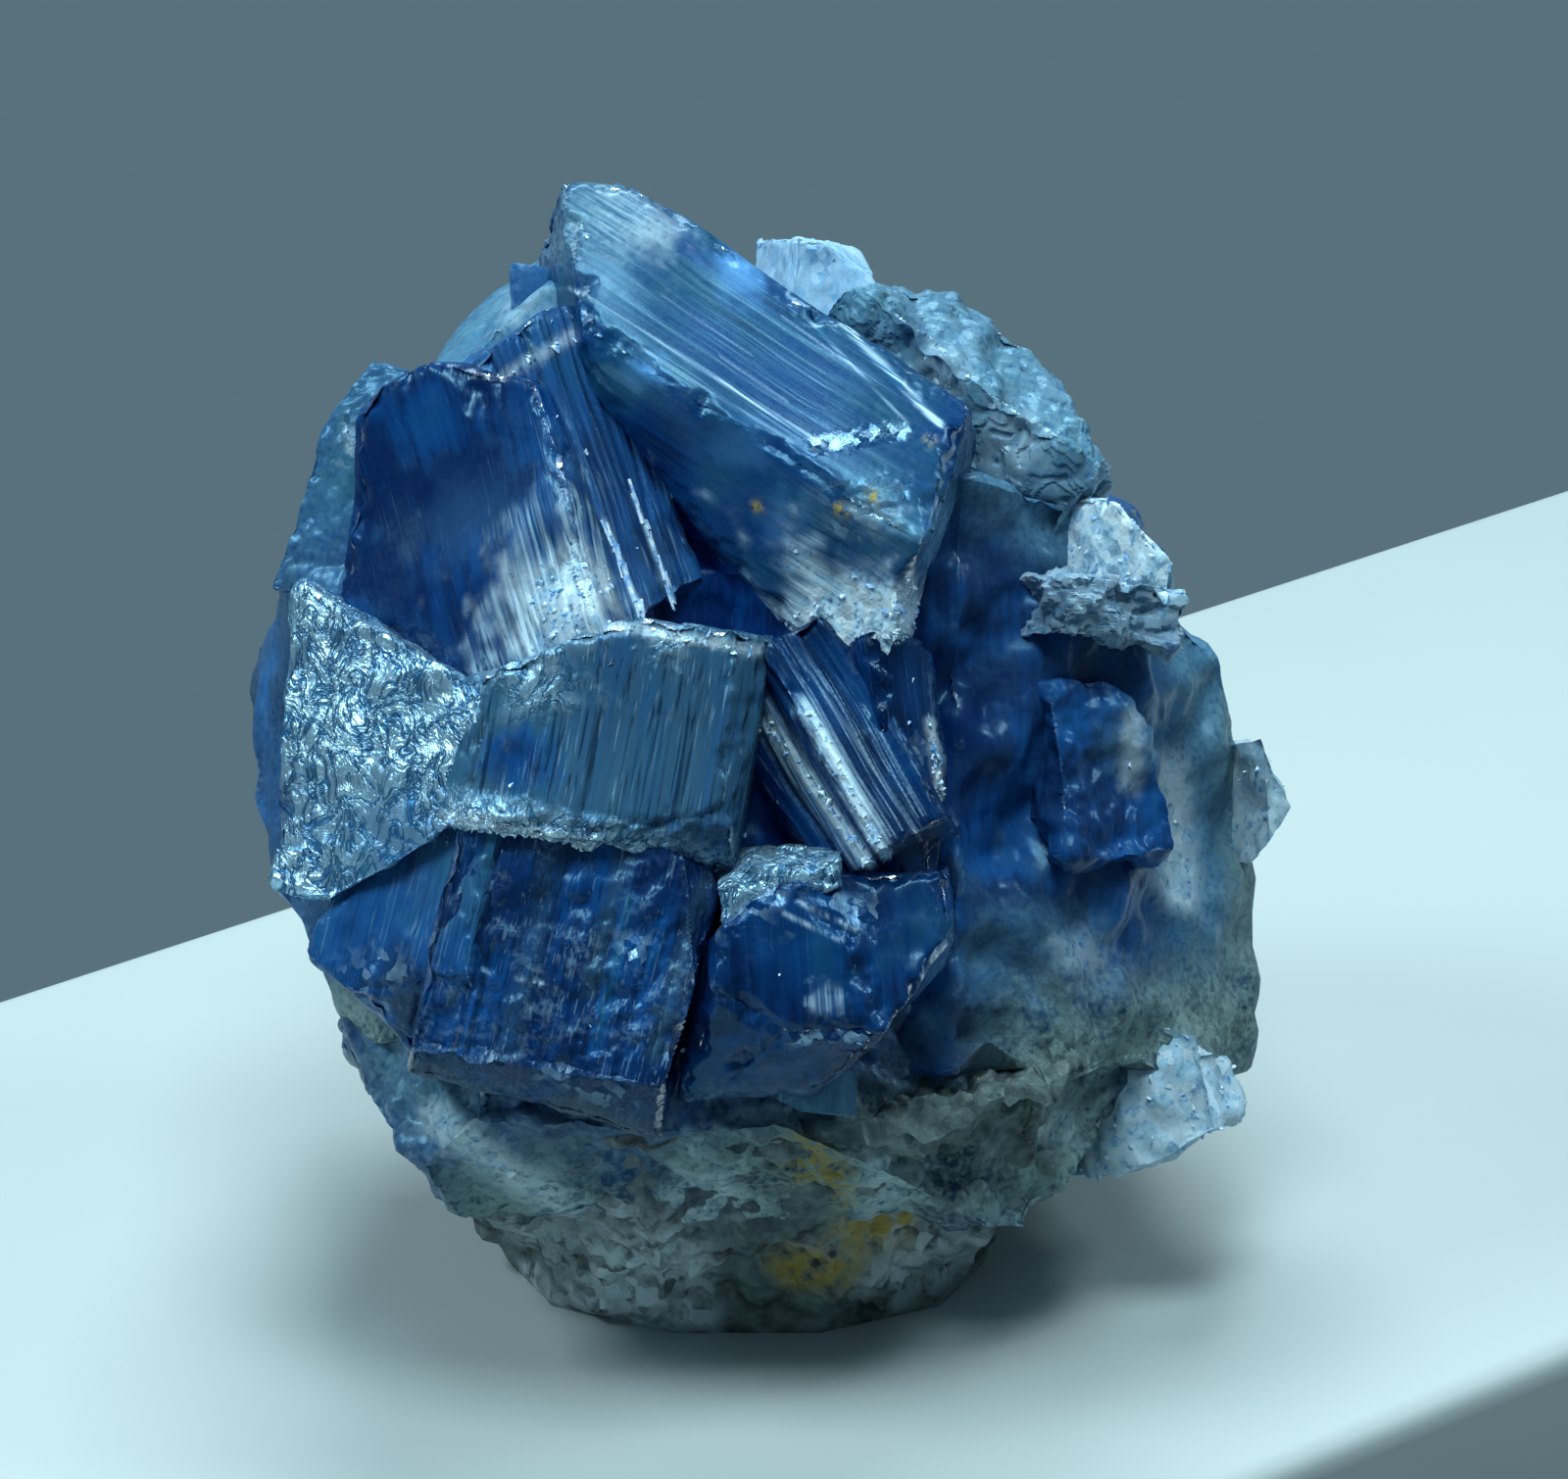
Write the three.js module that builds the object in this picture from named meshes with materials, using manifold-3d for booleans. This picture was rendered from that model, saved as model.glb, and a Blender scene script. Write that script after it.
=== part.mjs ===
// A cluster of blue beryl crystals grown into one another, on a small foot of
// feldspar matrix. Millimetres, +Z up, front towards -Y. The origin lies on the
// flat underside of the matrix, at the middle of the cluster's box.
//
// The front crystals face a viewer who looks down on the cluster, so they are laid
// out in a frame that leans back by LEAN: [right, up, out], "out" towards the viewer.

import * as THREE from "three";
import { ConvexGeometry } from "three/addons/geometries/ConvexGeometry.js";
import { mergeVertices } from "three/addons/utils/BufferGeometryUtils.js";
import Module from "manifold-3d";

const wasm = await Module();
wasm.setup();

const radians = THREE.MathUtils.degToRad;

const LEAN = radians(22); // how far the front face leans back
const UPRIGHT_TURN = Math.PI / 2 - LEAN; // about X, from the leaning frame to the upright one
const SEAT_GAP = 0.3; // clearance between the beryl and the matrix that it grew on
const TABLE_DEPTH = 40; // a block this deep trims what hangs below the underside
const HEX_SIDES = 6;
const HEX_WIDTH = Math.sqrt(3); // of a six-sided prism of radius 1, from face to face
const HEX_DEPTH = 2; // of the same prism, from ridge to ridge

// ------------------------------------------------------------------ the crystals

// middle is [right, up, out]. size is [width, length, depth] while the crystal still
// stands straight, with its length upwards. Then it rolls about its own axis (its front
// swings to the right), tips its upper end towards the viewer, and turns that end to
// the left, in degrees. A hex crystal has a ridge in front, a block has a flat face.
//
// Each cut is a cleavage plane [clock, lift, reach]. It faces clock degrees round from
// straight up, anticlockwise, lifted towards the viewer by lift degrees, and lies reach
// from the middle.

const TOP_CRYSTALS = {
  // The stubby prism on top, broken off steeply at its lower right end.
  crown: {
    hex: true, middle: [-0.4, 13.0, 6.1], size: [4.1, 8.4, 5.2], turn: 56, tip: -11,
    cuts: [[-108, 5, 3.4], [95, 15, 2.7], [-5, 5, 3.5], [128, 5, 1.5]],
  },
  // A splintered prism that stands beside the crown's lower end.
  comb: {
    hex: true, middle: [-2.9, 11.6, 6.7], size: [3.0, 5.6, 3.4], turn: 17, tip: -9,
    cuts: [[37, 0, 2.7], [-145, 0, 1.9]],
  },
  // Looks into the deep blue inside of the cluster.
  leftWindow: {
    middle: [-3.9, 10.8, 6.1], size: [4.6, 5.6, 4.0], turn: 15, tip: -15, roll: -30,
    cuts: [[146, 0, 2.2], [180, 0, 2.0], [84, 0, 2.7], [-6, 0, 2.8]],
  },
  leftRim: {
    middle: [-6.0, 11.9, 4.7], size: [1.8, 3.8, 2.2], turn: -18, roll: -20,
    cuts: [[50, 0, 1.4]],
  },
};

const FRONT_CRYSTALS = {
  // A crinkled fracture that catches the light like foil.
  foilFracture: {
    middle: [-5.3, 7.9, 6.6], size: [4.4, 5.4, 3.8], turn: 4, tip: -6, roll: -30,
    cuts: [[-31, 0, 1.3], [-150, 0, 1.2], [163, 0, 2.5], [85, 0, 2.1]],
  },
  // Upper and lower storeys of the broad striated prism in the middle.
  frontSlab: {
    middle: [-2.5, 8.1, 7.8], size: [4.6, 3.6, 3.6], turn: -10, tip: -5, roll: -6,
    cuts: [[20, 0, 1.6], [-90, 38, 2.7], [80, 45, 2.5], [180, 45, 2.3]],
  },
  frontPrism: {
    middle: [-2.9, 4.9, 7.6], size: [4.0, 4.8, 3.4], turn: -14, tip: 4, roll: -6,
    cuts: [[-85, 38, 2.5], [166, 45, 2.4]],
  },
  frontLeftPrism: {
    middle: [-5.1, 5.0, 6.6], size: [3.8, 4.8, 4.0], turn: -14, roll: -30,
    cuts: [[60, 0, 1.7], [138, 0, 1.5], [-165, 0, 2.2], [160, 45, 2.1]],
  },
  // The banded prism below the crown, and the dark one that it leans on.
  bandedPrism: {
    hex: true, middle: [0.9, 7.7, 7.5], size: [2.2, 3.6, 3.6], turn: 32, tip: -10,
  },
  darkPrism: {
    hex: true, middle: [1.7, 7.7, 6.8], size: [1.8, 3.8, 3.6], turn: 8,
    cuts: [[-28, 0, 1.9], [-95, 0, 0.9]],
  },
  chip: {
    middle: [0.1, 5.9, 8.8], size: [1.9, 0.9, 1.6], turn: 4, tip: 8,
    cuts: [[35, 10, 0.6], [-150, 10, 0.6]],
  },
  cobaltLobe: {
    middle: [0.7, 4.4, 7.3], size: [4.2, 3.2, 4.8], turn: 4,
    cuts: [
      [-132, 0, 1.2], [84, 10, 2.0], [37, 0, 1.6], [-60, 55, 2.3], [150, 50, 2.4], [180, 40, 2.1],
    ],
  },
  flake: { middle: [0.6, 2.8, 7.6], size: [1.1, 0.6, 1.6], roll: 12, cuts: [[150, 0, 0.3]] },
};

const OUTER_CRYSTALS = {
  skyBlock: {
    middle: [0.7, 15.3, 2.4], size: [1.4, 1.3, 2.6], turn: -6, roll: 15,
    cuts: [[-45, 10, 0.75]],
  },
  tealRidge: {
    hex: true, middle: [2.9, 12.9, 3.0], size: [2.8, 5.0, 5.0], turn: 54, tip: -8, roll: 20,
    cuts: [[0, 0, 2.2], [-60, 0, 1.8]],
  },
  leftShoulder: {
    middle: [-3.9, 14.5, 4.4], size: [2.8, 2.8, 4.0], turn: -8, roll: -12,
    cuts: [[42, 10, 0.4]],
  },
  paleBlock: {
    middle: [4.9, 11.2, 4.2], size: [1.4, 1.3, 2.6], turn: -5, roll: 35,
    cuts: [[-42, 0, 0.45]],
  },
  steppedRidge: { middle: [4.9, 10.1, 4.9], size: [2.4, 0.9, 2.0], turn: -5, roll: 38 },
  rightStep: {
    middle: [4.6, 7.6, 4.2], size: [2.2, 2.7, 2.6], turn: 6, roll: 36,
    cuts: [[-60, 0, 1.2]],
  },
  rightKnob: {
    middle: [7.5, 7.1, 0.9], size: [1.2, 1.9, 2.6], turn: 6, roll: 40,
    cuts: [[-60, 0, 0.7], [-130, 0, 0.7]],
  },
  footLobe: {
    hex: true, middle: [5.9, 2.7, 2.2], size: [2.2, 2.4, 3.4], turn: 12, roll: 35,
    cuts: [[-40, 0, 1.1], [-150, 0, 1.1]],
  },
};

// The massive inner part, which the crystals above grew from.
const INNER_CRYSTALS = {
  leftFlank: {
    middle: [-4.9, 8.6, 2.4], size: [6.4, 10.4, 9.4],
    cuts: [[72, 0, 3.2], [112, 0, 3.5], [34, 0, 4.0], [131, 0, 4.3], [90, 32, 3.0], [90, -30, 3.4]],
  },
  rightFlank: {
    middle: [3.6, 7.6, 1.6], size: [8.2, 9.4, 10.0],
    cuts: [[-55, 0, 3.9], [-75, 0, 3.8], [-10, 0, 4.3], [-90, 31, 3.2], [-90, 52, 3.5], [-90, -35, 3.6]],
  },
  upperBody: {
    middle: [-0.8, 13.0, 2.2], size: [6.6, 4.4, 7.6], turn: -4,
    cuts: [[-35, 0, 2.3], [0, -40, 2.4]],
  },
  lowerBody: {
    middle: [-0.3, 2.7, 3.0], size: [12.8, 4.2, 10.4],
    cuts: [[180, 30, 3.05], [126, 0, 4.8], [-132, 0, 4.6], [-90, 48, 4.3], [90, 37, 6.5], [180, -30, 2.4]],
  },
  heart: {
    middle: [-0.6, 8.0, 2.4], size: [9.2, 9.6, 10.4],
    cuts: [[-90, 45, 4.4], [90, 45, 5.4], [0, 40, 5.4], [180, 50, 5.2]],
  },
};

// Six-sided prisms on the far side, in the upright frame: where the middle of each
// lies, its radius and length, and how its long axis tips over and turns about +Z.
const BACK_PRISMS = [
  { middle: [-3.4, 3.6, 8.6], radius: 3.1, length: 7.4, tip: 24, turn: 62 },
  { middle: [2.0, 4.0, 10.4], radius: 2.5, length: 6.4, tip: 38, turn: -40 },
  { middle: [4.6, 3.8, 5.4], radius: 2.3, length: 5.6, tip: 62, turn: 18 },
  { middle: [-0.6, 4.4, 4.6], radius: 2.6, length: 5.2, tip: 76, turn: 84 },
];

// The matrix widens upwards from the flat face that it stands on: two oval rings.
const MATRIX_SIDES = 10;
const MATRIX_FOOT = { x: -0.4, y: -0.8, z: 0, radiusX: 3.8, radiusY: 2.7 };
const MATRIX_TOP = { x: -0.4, y: -2.2, z: 5, radiusX: 5.5, radiusY: 4.1 };

// ---------------------------------------------------------------- joins and cuts

function solidFrom(geometry) {
  for (const name of ["normal", "uv"]) geometry.deleteAttribute(name);
  const merged = mergeVertices(geometry, 1e-5);
  return new wasm.Manifold(
    new wasm.Mesh({
      numProp: 3,
      vertProperties: Float32Array.from(merged.attributes.position.array),
      triVerts: Uint32Array.from(merged.index.array),
    }),
  );
}

function geometryFrom(solid) {
  const { vertProperties, triVerts } = solid.getMesh();
  const geometry = new THREE.BufferGeometry();
  geometry.setAttribute("position", new THREE.BufferAttribute(vertProperties, 3));
  geometry.setIndex(new THREE.BufferAttribute(triVerts, 1));
  geometry.computeVertexNormals();
  return geometry;
}

function crystalSolid({ hex = false, middle, size, turn = 0, tip = 0, roll = 0, cuts = [] }) {
  const [width, length, depth] = size;
  const geometry = hex
    ? new THREE.CylinderGeometry(1, 1, 1, HEX_SIDES).scale(width / HEX_WIDTH, length, depth / HEX_DEPTH)
    : new THREE.BoxGeometry(width, length, depth);
  geometry.rotateY(radians(roll)).rotateX(radians(tip)).rotateZ(radians(turn));
  let solid = solidFrom(geometry);
  for (const [clock, lift, reach] of cuts) {
    const facing = new THREE.Vector3(0, 1, 0)
      .applyAxisAngle(new THREE.Vector3(1, 0, 0), radians(lift))
      .applyAxisAngle(new THREE.Vector3(0, 0, 1), radians(clock));
    solid = solid.trimByPlane(facing.negate().toArray(), -reach);
  }
  return solid.translate(middle).rotate([THREE.MathUtils.radToDeg(UPRIGHT_TURN), 0, 0]);
}

function backSolid({ middle, radius, length, tip, turn }) {
  const geometry = new THREE.CylinderGeometry(radius, radius, length, HEX_SIDES);
  geometry.rotateX(Math.PI / 2 + radians(tip)).rotateZ(radians(turn));
  return solidFrom(geometry).translate(middle);
}

function ovalRing({ x, y, z, radiusX, radiusY }, grow, drop) {
  return Array.from({ length: MATRIX_SIDES }, (_, corner) => {
    const angle = (2 * Math.PI * corner) / MATRIX_SIDES;
    return new THREE.Vector3(
      x + (radiusX + grow) * Math.cos(angle),
      y + (radiusY + grow) * Math.sin(angle),
      z + drop,
    );
  });
}

const matrixSolid = (grow, dropFoot, raiseTop) =>
  solidFrom(
    new ConvexGeometry([
      ...ovalRing(MATRIX_FOOT, grow, -dropFoot),
      ...ovalRing(MATRIX_TOP, grow, raiseTop),
    ]),
  );

// Measured straight across a sloping side, the gap is narrower than the rings' growth.
const SEAT_GROWTH = SEAT_GAP * 1.5;

const table = solidFrom(new THREE.BoxGeometry(TABLE_DEPTH, TABLE_DEPTH, TABLE_DEPTH)).translate([
  0,
  0,
  SEAT_GAP - TABLE_DEPTH / 2,
]);

const crystals = [TOP_CRYSTALS, FRONT_CRYSTALS, OUTER_CRYSTALS, INNER_CRYSTALS].flatMap((group) =>
  Object.values(group).map(crystalSolid),
);
const clusterSolid = [...crystals, ...BACK_PRISMS.map(backSolid)]
  .reduce((joined, crystal) => joined.add(crystal))
  .subtract(matrixSolid(SEAT_GROWTH, SEAT_GAP, SEAT_GAP))
  .subtract(table);

// -------------------------------------------------------------------- the group

const beryl = new THREE.Mesh(
  geometryFrom(clusterSolid),
  new THREE.MeshStandardMaterial({ color: 0x1f4a86, roughness: 0.18, metalness: 0 }),
);
beryl.name = "beryl_cluster";

const matrix = new THREE.Mesh(
  geometryFrom(matrixSolid(0, 0, 0)),
  new THREE.MeshStandardMaterial({ color: 0x8b938a, roughness: 0.9, metalness: 0 }),
);
matrix.name = "matrix_foot";

// The crystals are laid out around a point that is only about in their middle.
const box = clusterSolid.boundingBox();
const boxMiddle = (axis) => (box.min[axis] + box.max[axis]) / 2;

const specimen = new THREE.Group();
for (const mesh of [beryl, matrix]) {
  mesh.position.set(-boxMiddle(0), -boxMiddle(1), 0);
  specimen.add(mesh);
}

export default specimen;
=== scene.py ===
"""A loose cluster of blue beryl crystals on a small foot of matrix, for Blender 4.5.

Crystals are built in millimetres in a leaning frame, (right, up, out), where "out"
points to a viewer who looks down on the specimen by LEAN. The CAD frame is upright.
"""

import itertools
import math

import bmesh
import bpy
import numpy as np
from mathutils import Matrix, Vector


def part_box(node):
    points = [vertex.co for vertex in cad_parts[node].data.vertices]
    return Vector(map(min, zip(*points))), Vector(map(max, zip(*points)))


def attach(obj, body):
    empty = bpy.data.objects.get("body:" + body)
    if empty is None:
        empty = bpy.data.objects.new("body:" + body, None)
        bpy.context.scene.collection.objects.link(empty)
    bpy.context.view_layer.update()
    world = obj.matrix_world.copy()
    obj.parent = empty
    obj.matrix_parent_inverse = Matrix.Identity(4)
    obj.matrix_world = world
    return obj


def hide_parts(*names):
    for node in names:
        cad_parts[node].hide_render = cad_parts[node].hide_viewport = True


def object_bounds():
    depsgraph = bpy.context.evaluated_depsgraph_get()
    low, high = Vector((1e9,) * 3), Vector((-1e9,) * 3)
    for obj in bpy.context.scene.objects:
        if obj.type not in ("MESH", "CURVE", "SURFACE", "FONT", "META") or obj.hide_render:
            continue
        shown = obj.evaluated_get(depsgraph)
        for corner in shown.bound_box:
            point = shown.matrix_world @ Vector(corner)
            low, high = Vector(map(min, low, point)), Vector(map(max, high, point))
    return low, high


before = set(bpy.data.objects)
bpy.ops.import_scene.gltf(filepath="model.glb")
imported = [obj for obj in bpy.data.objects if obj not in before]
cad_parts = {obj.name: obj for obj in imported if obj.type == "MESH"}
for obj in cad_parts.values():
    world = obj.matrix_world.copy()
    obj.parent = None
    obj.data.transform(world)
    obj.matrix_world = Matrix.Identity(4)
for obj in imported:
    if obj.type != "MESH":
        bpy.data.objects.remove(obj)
CAD_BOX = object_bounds()

DESIGN_HEIGHT = 18.085  # mm, the height of the CAD cluster
MM = (CAD_BOX[1][2] - CAD_BOX[0][2]) / DESIGN_HEIGHT
LEAN = math.radians(22)

# ------------------------------------------------------------------ noise, in numpy


def cell_hash(ix, iy, iz, seed):
    """A repeatable number from 0 to 1 for each whole-number cell."""
    with np.errstate(over="ignore"):
        h = ix.astype(np.uint32) * np.uint32(374761393)
        h ^= iy.astype(np.uint32) * np.uint32(668265263)
        h ^= iz.astype(np.uint32) * np.uint32(2246822519)
        h ^= np.uint32((seed * 3266489917 + 374761393) & 0xFFFFFFFF)
        h = (h ^ (h >> np.uint32(15))) * np.uint32(2246822519)
        h = (h ^ (h >> np.uint32(13))) * np.uint32(3266489917)
        h ^= h >> np.uint32(16)
    return h.astype(np.float64) / 4294967295.0


def noise(points, scale, seed):
    """Smooth noise from -1 to 1 whose features are about scale wide (a number or one per axis)."""
    q = points / np.asarray(scale, dtype=float)
    base = np.floor(q).astype(np.int64)
    f = q - base
    s = f * f * f * (f * (f * 6 - 15) + 10)
    total = np.zeros(len(points))
    for step in itertools.product((0, 1), repeat=3):
        cell = [base[:, a] + step[a] for a in range(3)]
        wx, wy, wz = (s[:, a] if step[a] else 1 - s[:, a] for a in range(3))
        turn = cell_hash(*cell, seed) * 2 * math.pi
        rise = cell_hash(*cell, seed + 101) * 2 - 1
        flat = np.sqrt(1 - rise * rise)
        x, y, z = (f[:, a] - step[a] for a in range(3))
        total += wx * wy * wz * (np.cos(turn) * flat * x + np.sin(turn) * flat * y + rise * z)
    return total * 1.6


def fractal(points, scale, octaves, seed):
    """Noise with ever finer and weaker noise on top."""
    total = np.zeros(len(points))
    strength = 1.0
    scale = np.asarray(scale, dtype=float)
    for k in range(octaves):
        total += strength * noise(points, scale, seed + 17 * k)
        scale = scale / 2.03
        strength *= 0.5
    return total


def facets(points, scale, seed, tilt, bulge):
    """A crumpled sheet of small flat facets: the highest of many tilted plates at each point."""
    q = points / np.asarray(scale, dtype=float)
    base = np.floor(q).astype(np.int64)
    best = np.full(len(points), -9.0)
    for step in itertools.product((-1, 0, 1), repeat=3):
        cell = [base[:, a] + step[a] for a in range(3)]
        rel = [q[:, a] - cell[a] - cell_hash(*cell, seed + a) for a in range(3)]
        height = 0.35 * cell_hash(*cell, seed + 3)
        for a in range(3):
            height += tilt * (cell_hash(*cell, seed + 4 + a) - 0.5) * rel[a]
        height -= bulge * 0.5 * (rel[0] ** 2 + rel[1] ** 2 + rel[2] ** 2)
        best = np.maximum(best, height)
    return best


def smooth(low, high, x):
    """0 at low and 1 at high, with a soft start and end."""
    t = np.clip((x - low) / (high - low), 0, 1)
    return t * t * (3 - 2 * t)


# ------------------------------------------------------------- the two frames


def upright(points):
    """Leaning (right, up, out) to the upright frame."""
    right, up, out = np.asarray(points, dtype=float).T
    y = up * math.sin(LEAN) - out * math.cos(LEAN)
    z = up * math.cos(LEAN) + out * math.sin(LEAN)
    return np.stack([right, y, z], axis=1)


def leaning(points):
    """The upright frame to leaning (right, up, out)."""
    x, y, z = np.asarray(points, dtype=float).T
    up = y * math.sin(LEAN) + z * math.cos(LEAN)
    out = -y * math.cos(LEAN) + z * math.sin(LEAN)
    return np.stack([x, up, out], axis=1)


# ------------------------------------------------------- from shapes to dense meshes


def hull(corners):
    """Vertices, triangles, and for each triangle the number of the flat face that it lies on."""
    bm = bmesh.new()
    for corner in corners:
        bm.verts.new(corner)
    bmesh.ops.convex_hull(bm, input=bm.verts)
    loose = [v for v in bm.verts if not v.link_faces]
    bmesh.ops.delete(bm, geom=loose, context="VERTS")
    bmesh.ops.dissolve_limit(bm, angle_limit=math.radians(2), verts=bm.verts, edges=bm.edges)
    bmesh.ops.recalc_face_normals(bm, faces=bm.faces)
    bm.faces.index_update()
    layer = bm.faces.layers.int.new("side")
    for face in bm.faces:
        face[layer] = face.index
    bmesh.ops.triangulate(bm, faces=bm.faces)
    bm.verts.index_update()
    verts = np.array([v.co for v in bm.verts])
    tris = np.array([[v.index for v in f.verts] for f in bm.faces])
    sides = np.array([f[layer] for f in bm.faces])
    bm.free()
    return verts, tris, sides


MOST_ROUNDS = 14  # of cutting long edges in two


def refine(verts, tris, sides, shortest, wanted, axis, stretch):
    """Splits every edge that is longer than wanted(its middle), which is never below shortest.
    Along axis, edges may be stretch times longer."""
    for _ in range(MOST_ROUNDS):
        along = verts @ axis
        measure = verts - np.outer(along * (1 - 1 / stretch), axis)
        pairs = np.concatenate([tris[:, [0, 1]], tris[:, [1, 2]], tris[:, [2, 0]]])
        pairs = np.sort(pairs, axis=1)
        key = pairs[:, 0] * (len(verts) + 1) + pairs[:, 1]
        _, first, back = np.unique(key, return_index=True, return_inverse=True)
        ends = pairs[first]
        length = np.linalg.norm(measure[ends[:, 0]] - measure[ends[:, 1]], axis=1)
        middle = (verts[ends[:, 0]] + verts[ends[:, 1]]) / 2
        cut = length > shortest
        cut[cut] = length[cut] > wanted(middle[cut])
        if not cut.any():
            break
        number = np.full(len(ends), -1)
        number[cut] = len(verts) + np.arange(cut.sum())
        verts = np.concatenate([verts, middle[cut]])
        mids = number[back].reshape(3, -1).T
        tris, sides = split(tris, sides, mids, verts)
    return verts, tris, sides


def split(tris, sides, mids, verts):
    """One round of cuts: mids holds each triangle's new middle vertices, or -1 where an edge stays."""
    count = (mids >= 0).sum(axis=1)
    out_tris = [tris[count == 0]]
    out_sides = [sides[count == 0]]

    def turned(rows, shift):
        order = (np.arange(3)[None, :] + shift[:, None]) % 3
        return np.take_along_axis(tris[rows], order, 1), np.take_along_axis(mids[rows], order, 1)

    rows = np.flatnonzero(count == 3)
    a, b, c = tris[rows].T
    m, n, o = mids[rows].T
    for t in ((a, m, o), (m, b, n), (o, n, c), (m, n, o)):
        out_tris.append(np.stack(t, axis=1))
        out_sides.append(sides[rows])
    rows = np.flatnonzero(count == 1)
    if len(rows):
        t, mid = turned(rows, np.argmax(mids[rows] >= 0, axis=1))
        a, b, c = t.T
        m = mid[:, 0]
        for tri in ((a, m, c), (m, b, c)):
            out_tris.append(np.stack(tri, axis=1))
            out_sides.append(sides[rows])
    rows = np.flatnonzero(count == 2)
    if len(rows):
        t, mid = turned(rows, (np.argmax(mids[rows] < 0, axis=1) + 1) % 3)
        a, b, c = t.T
        m, n = mid[:, 0], mid[:, 1]
        one_way = np.linalg.norm(verts[a] - verts[n], axis=1)
        other_way = np.linalg.norm(verts[m] - verts[c], axis=1)
        short = one_way < other_way
        p = np.where(short, n, c)
        q = np.where(short, a, m)
        for tri in ((m, b, n), (a, m, p), (q, n, c)):
            out_tris.append(np.stack(tri, axis=1))
            out_sides.append(sides[rows])
    return np.concatenate(out_tris), np.concatenate(out_sides)


def side_planes(verts, tris, sides):
    """Each flat face's outward normal and its distance from the origin."""
    a, b, c = verts[tris[:, 0]], verts[tris[:, 1]], verts[tris[:, 2]]
    cross = np.cross(b - a, c - a)
    normals = np.zeros((sides.max() + 1, 3))
    np.add.at(normals, sides, cross)
    normals /= np.linalg.norm(normals, axis=1)[:, None]
    offsets = np.zeros(len(normals))
    offsets[sides] = np.einsum("ij,ij->i", a, normals[sides])
    return normals, offsets


HEX_SIDES = 6
HEX_WIDTH = math.sqrt(3)  # of a six-sided prism of radius 1, from face to face
HEX_DEPTH = 2.0  # of the same prism, from ridge to ridge


def turned(turn, tip, roll):
    """A crystal's roll about its own axis, then its tip to the viewer, then its turn to the left."""
    whole = Matrix.Identity(3)
    for angle, axis in ((turn, "Z"), (tip, "X"), (roll, "Y")):
        whole = whole @ Matrix.Rotation(math.radians(angle), 3, axis)
    return np.array(whole)


def hexagon(radius_right, radius_out):
    """Corners of a six-sided ring, (right, out), one of which is in front."""
    angles = [math.tau * k / HEX_SIDES for k in range(HEX_SIDES)]
    return [(radius_right * math.sin(a), radius_out * math.cos(a)) for a in angles]


def crystal_corners(middle, size, turn=0, tip=0, roll=0, is_hex=False, cuts=()):
    """Corners of a prism, six-sided or a block, after the planes (clock, lift, reach) have cut it."""
    width, length, depth = size
    if is_hex:
        ring = hexagon(width / HEX_WIDTH, depth / HEX_DEPTH)
    else:
        ring = [(sx * width / 2, sz * depth / 2) for sx in (-1, 1) for sz in (-1, 1)]
    corners = np.array([(x, y * length / 2, z) for x, z in ring for y in (-1, 1)])
    corners = corners @ turned(turn, tip, roll).T
    for clock, lift, reach in cuts:
        height = corners @ turned(clock, lift, 0) @ (0, 1, 0) - reach
        inside, outside = height <= 0, height > 0
        if not outside.any():
            continue
        a, b = corners[inside][:, None], corners[outside][None]
        share = height[inside][:, None] / (height[inside][:, None] - height[outside][None])
        crossing = (a + (b - a) * share[..., None]).reshape(-1, 3)
        corners = hull(np.concatenate([corners[inside], crossing]))[0]
    return corners + np.asarray(middle)


# ---------------------------------------------------------- finishes, in millimetres
# Each gives how far points on a face move along its normal. A face is (normal, axis of
# the crystal, each point's distance to the rim).

END_FACE = 0.75  # cosine to the axis: a face above it is an end of the crystal
STRIAE_RUN = 60  # how many times longer than wide the growth lines are
TERRACE_STEPS = 4


def finish(rule):
    """Lets a rule take its settings first, and its points and their face later."""

    def set_up(*settings, **more):
        return lambda points, face: rule(points, face, *settings, **more)

    return set_up


def is_end(face):
    normal, axis, _ = face
    return abs(normal @ axis) > END_FACE


@finish
def striae(points, face, depth, pitch, seed):
    """Growth lines along the axis: narrow steps that start and stop, and a few deep grooves."""
    if is_end(face):
        return np.zeros(len(points))
    normal, axis, _ = face
    side = np.cross(axis, normal)
    side /= max(np.linalg.norm(side), 1e-9)
    local = np.stack([points @ side, points @ axis, np.zeros(len(points))], axis=1)
    run = pitch * STRIAE_RUN
    fine = noise(local, (pitch, run, 9), seed)
    broad = noise(local, (pitch * 3.1, run * 1.7, 9), seed + 5)
    groove = np.abs(noise(local, (pitch * 5.3, run * 2.5, 9), seed + 9))
    steps = np.round(broad * 2.5) / 2.5 * 0.6 + broad * 0.4
    return depth * (0.35 * fine + 0.9 * steps - 0.9 * smooth(0.12, 0.0, groove))


@finish
def crinkle(points, face, depth, size, seed, ends_only=False):
    """A hackly fracture, like crumpled foil."""
    if ends_only and not is_end(face):
        return np.zeros(len(points))
    rough = facets(points, size, seed, 1.6, 1.0)
    fine = facets(points, size * 0.42, seed + 20, 1.6, 1.0)
    return depth * (rough - 0.35 + 0.4 * (fine - 0.35))


@finish
def swell(points, _, depth, size, seed):
    """Low waves of a curved, shell-like break."""
    return depth * fractal(points, size, 3, seed)


@finish
def terraces(points, _, depth, size, seed):
    """Flat treads with sharp risers between them."""
    field = fractal(points, size, 3, seed) * TERRACE_STEPS
    tread = np.floor(field)
    return depth * (tread + smooth(0.8, 1.0, field - tread)) / TERRACE_STEPS


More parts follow.
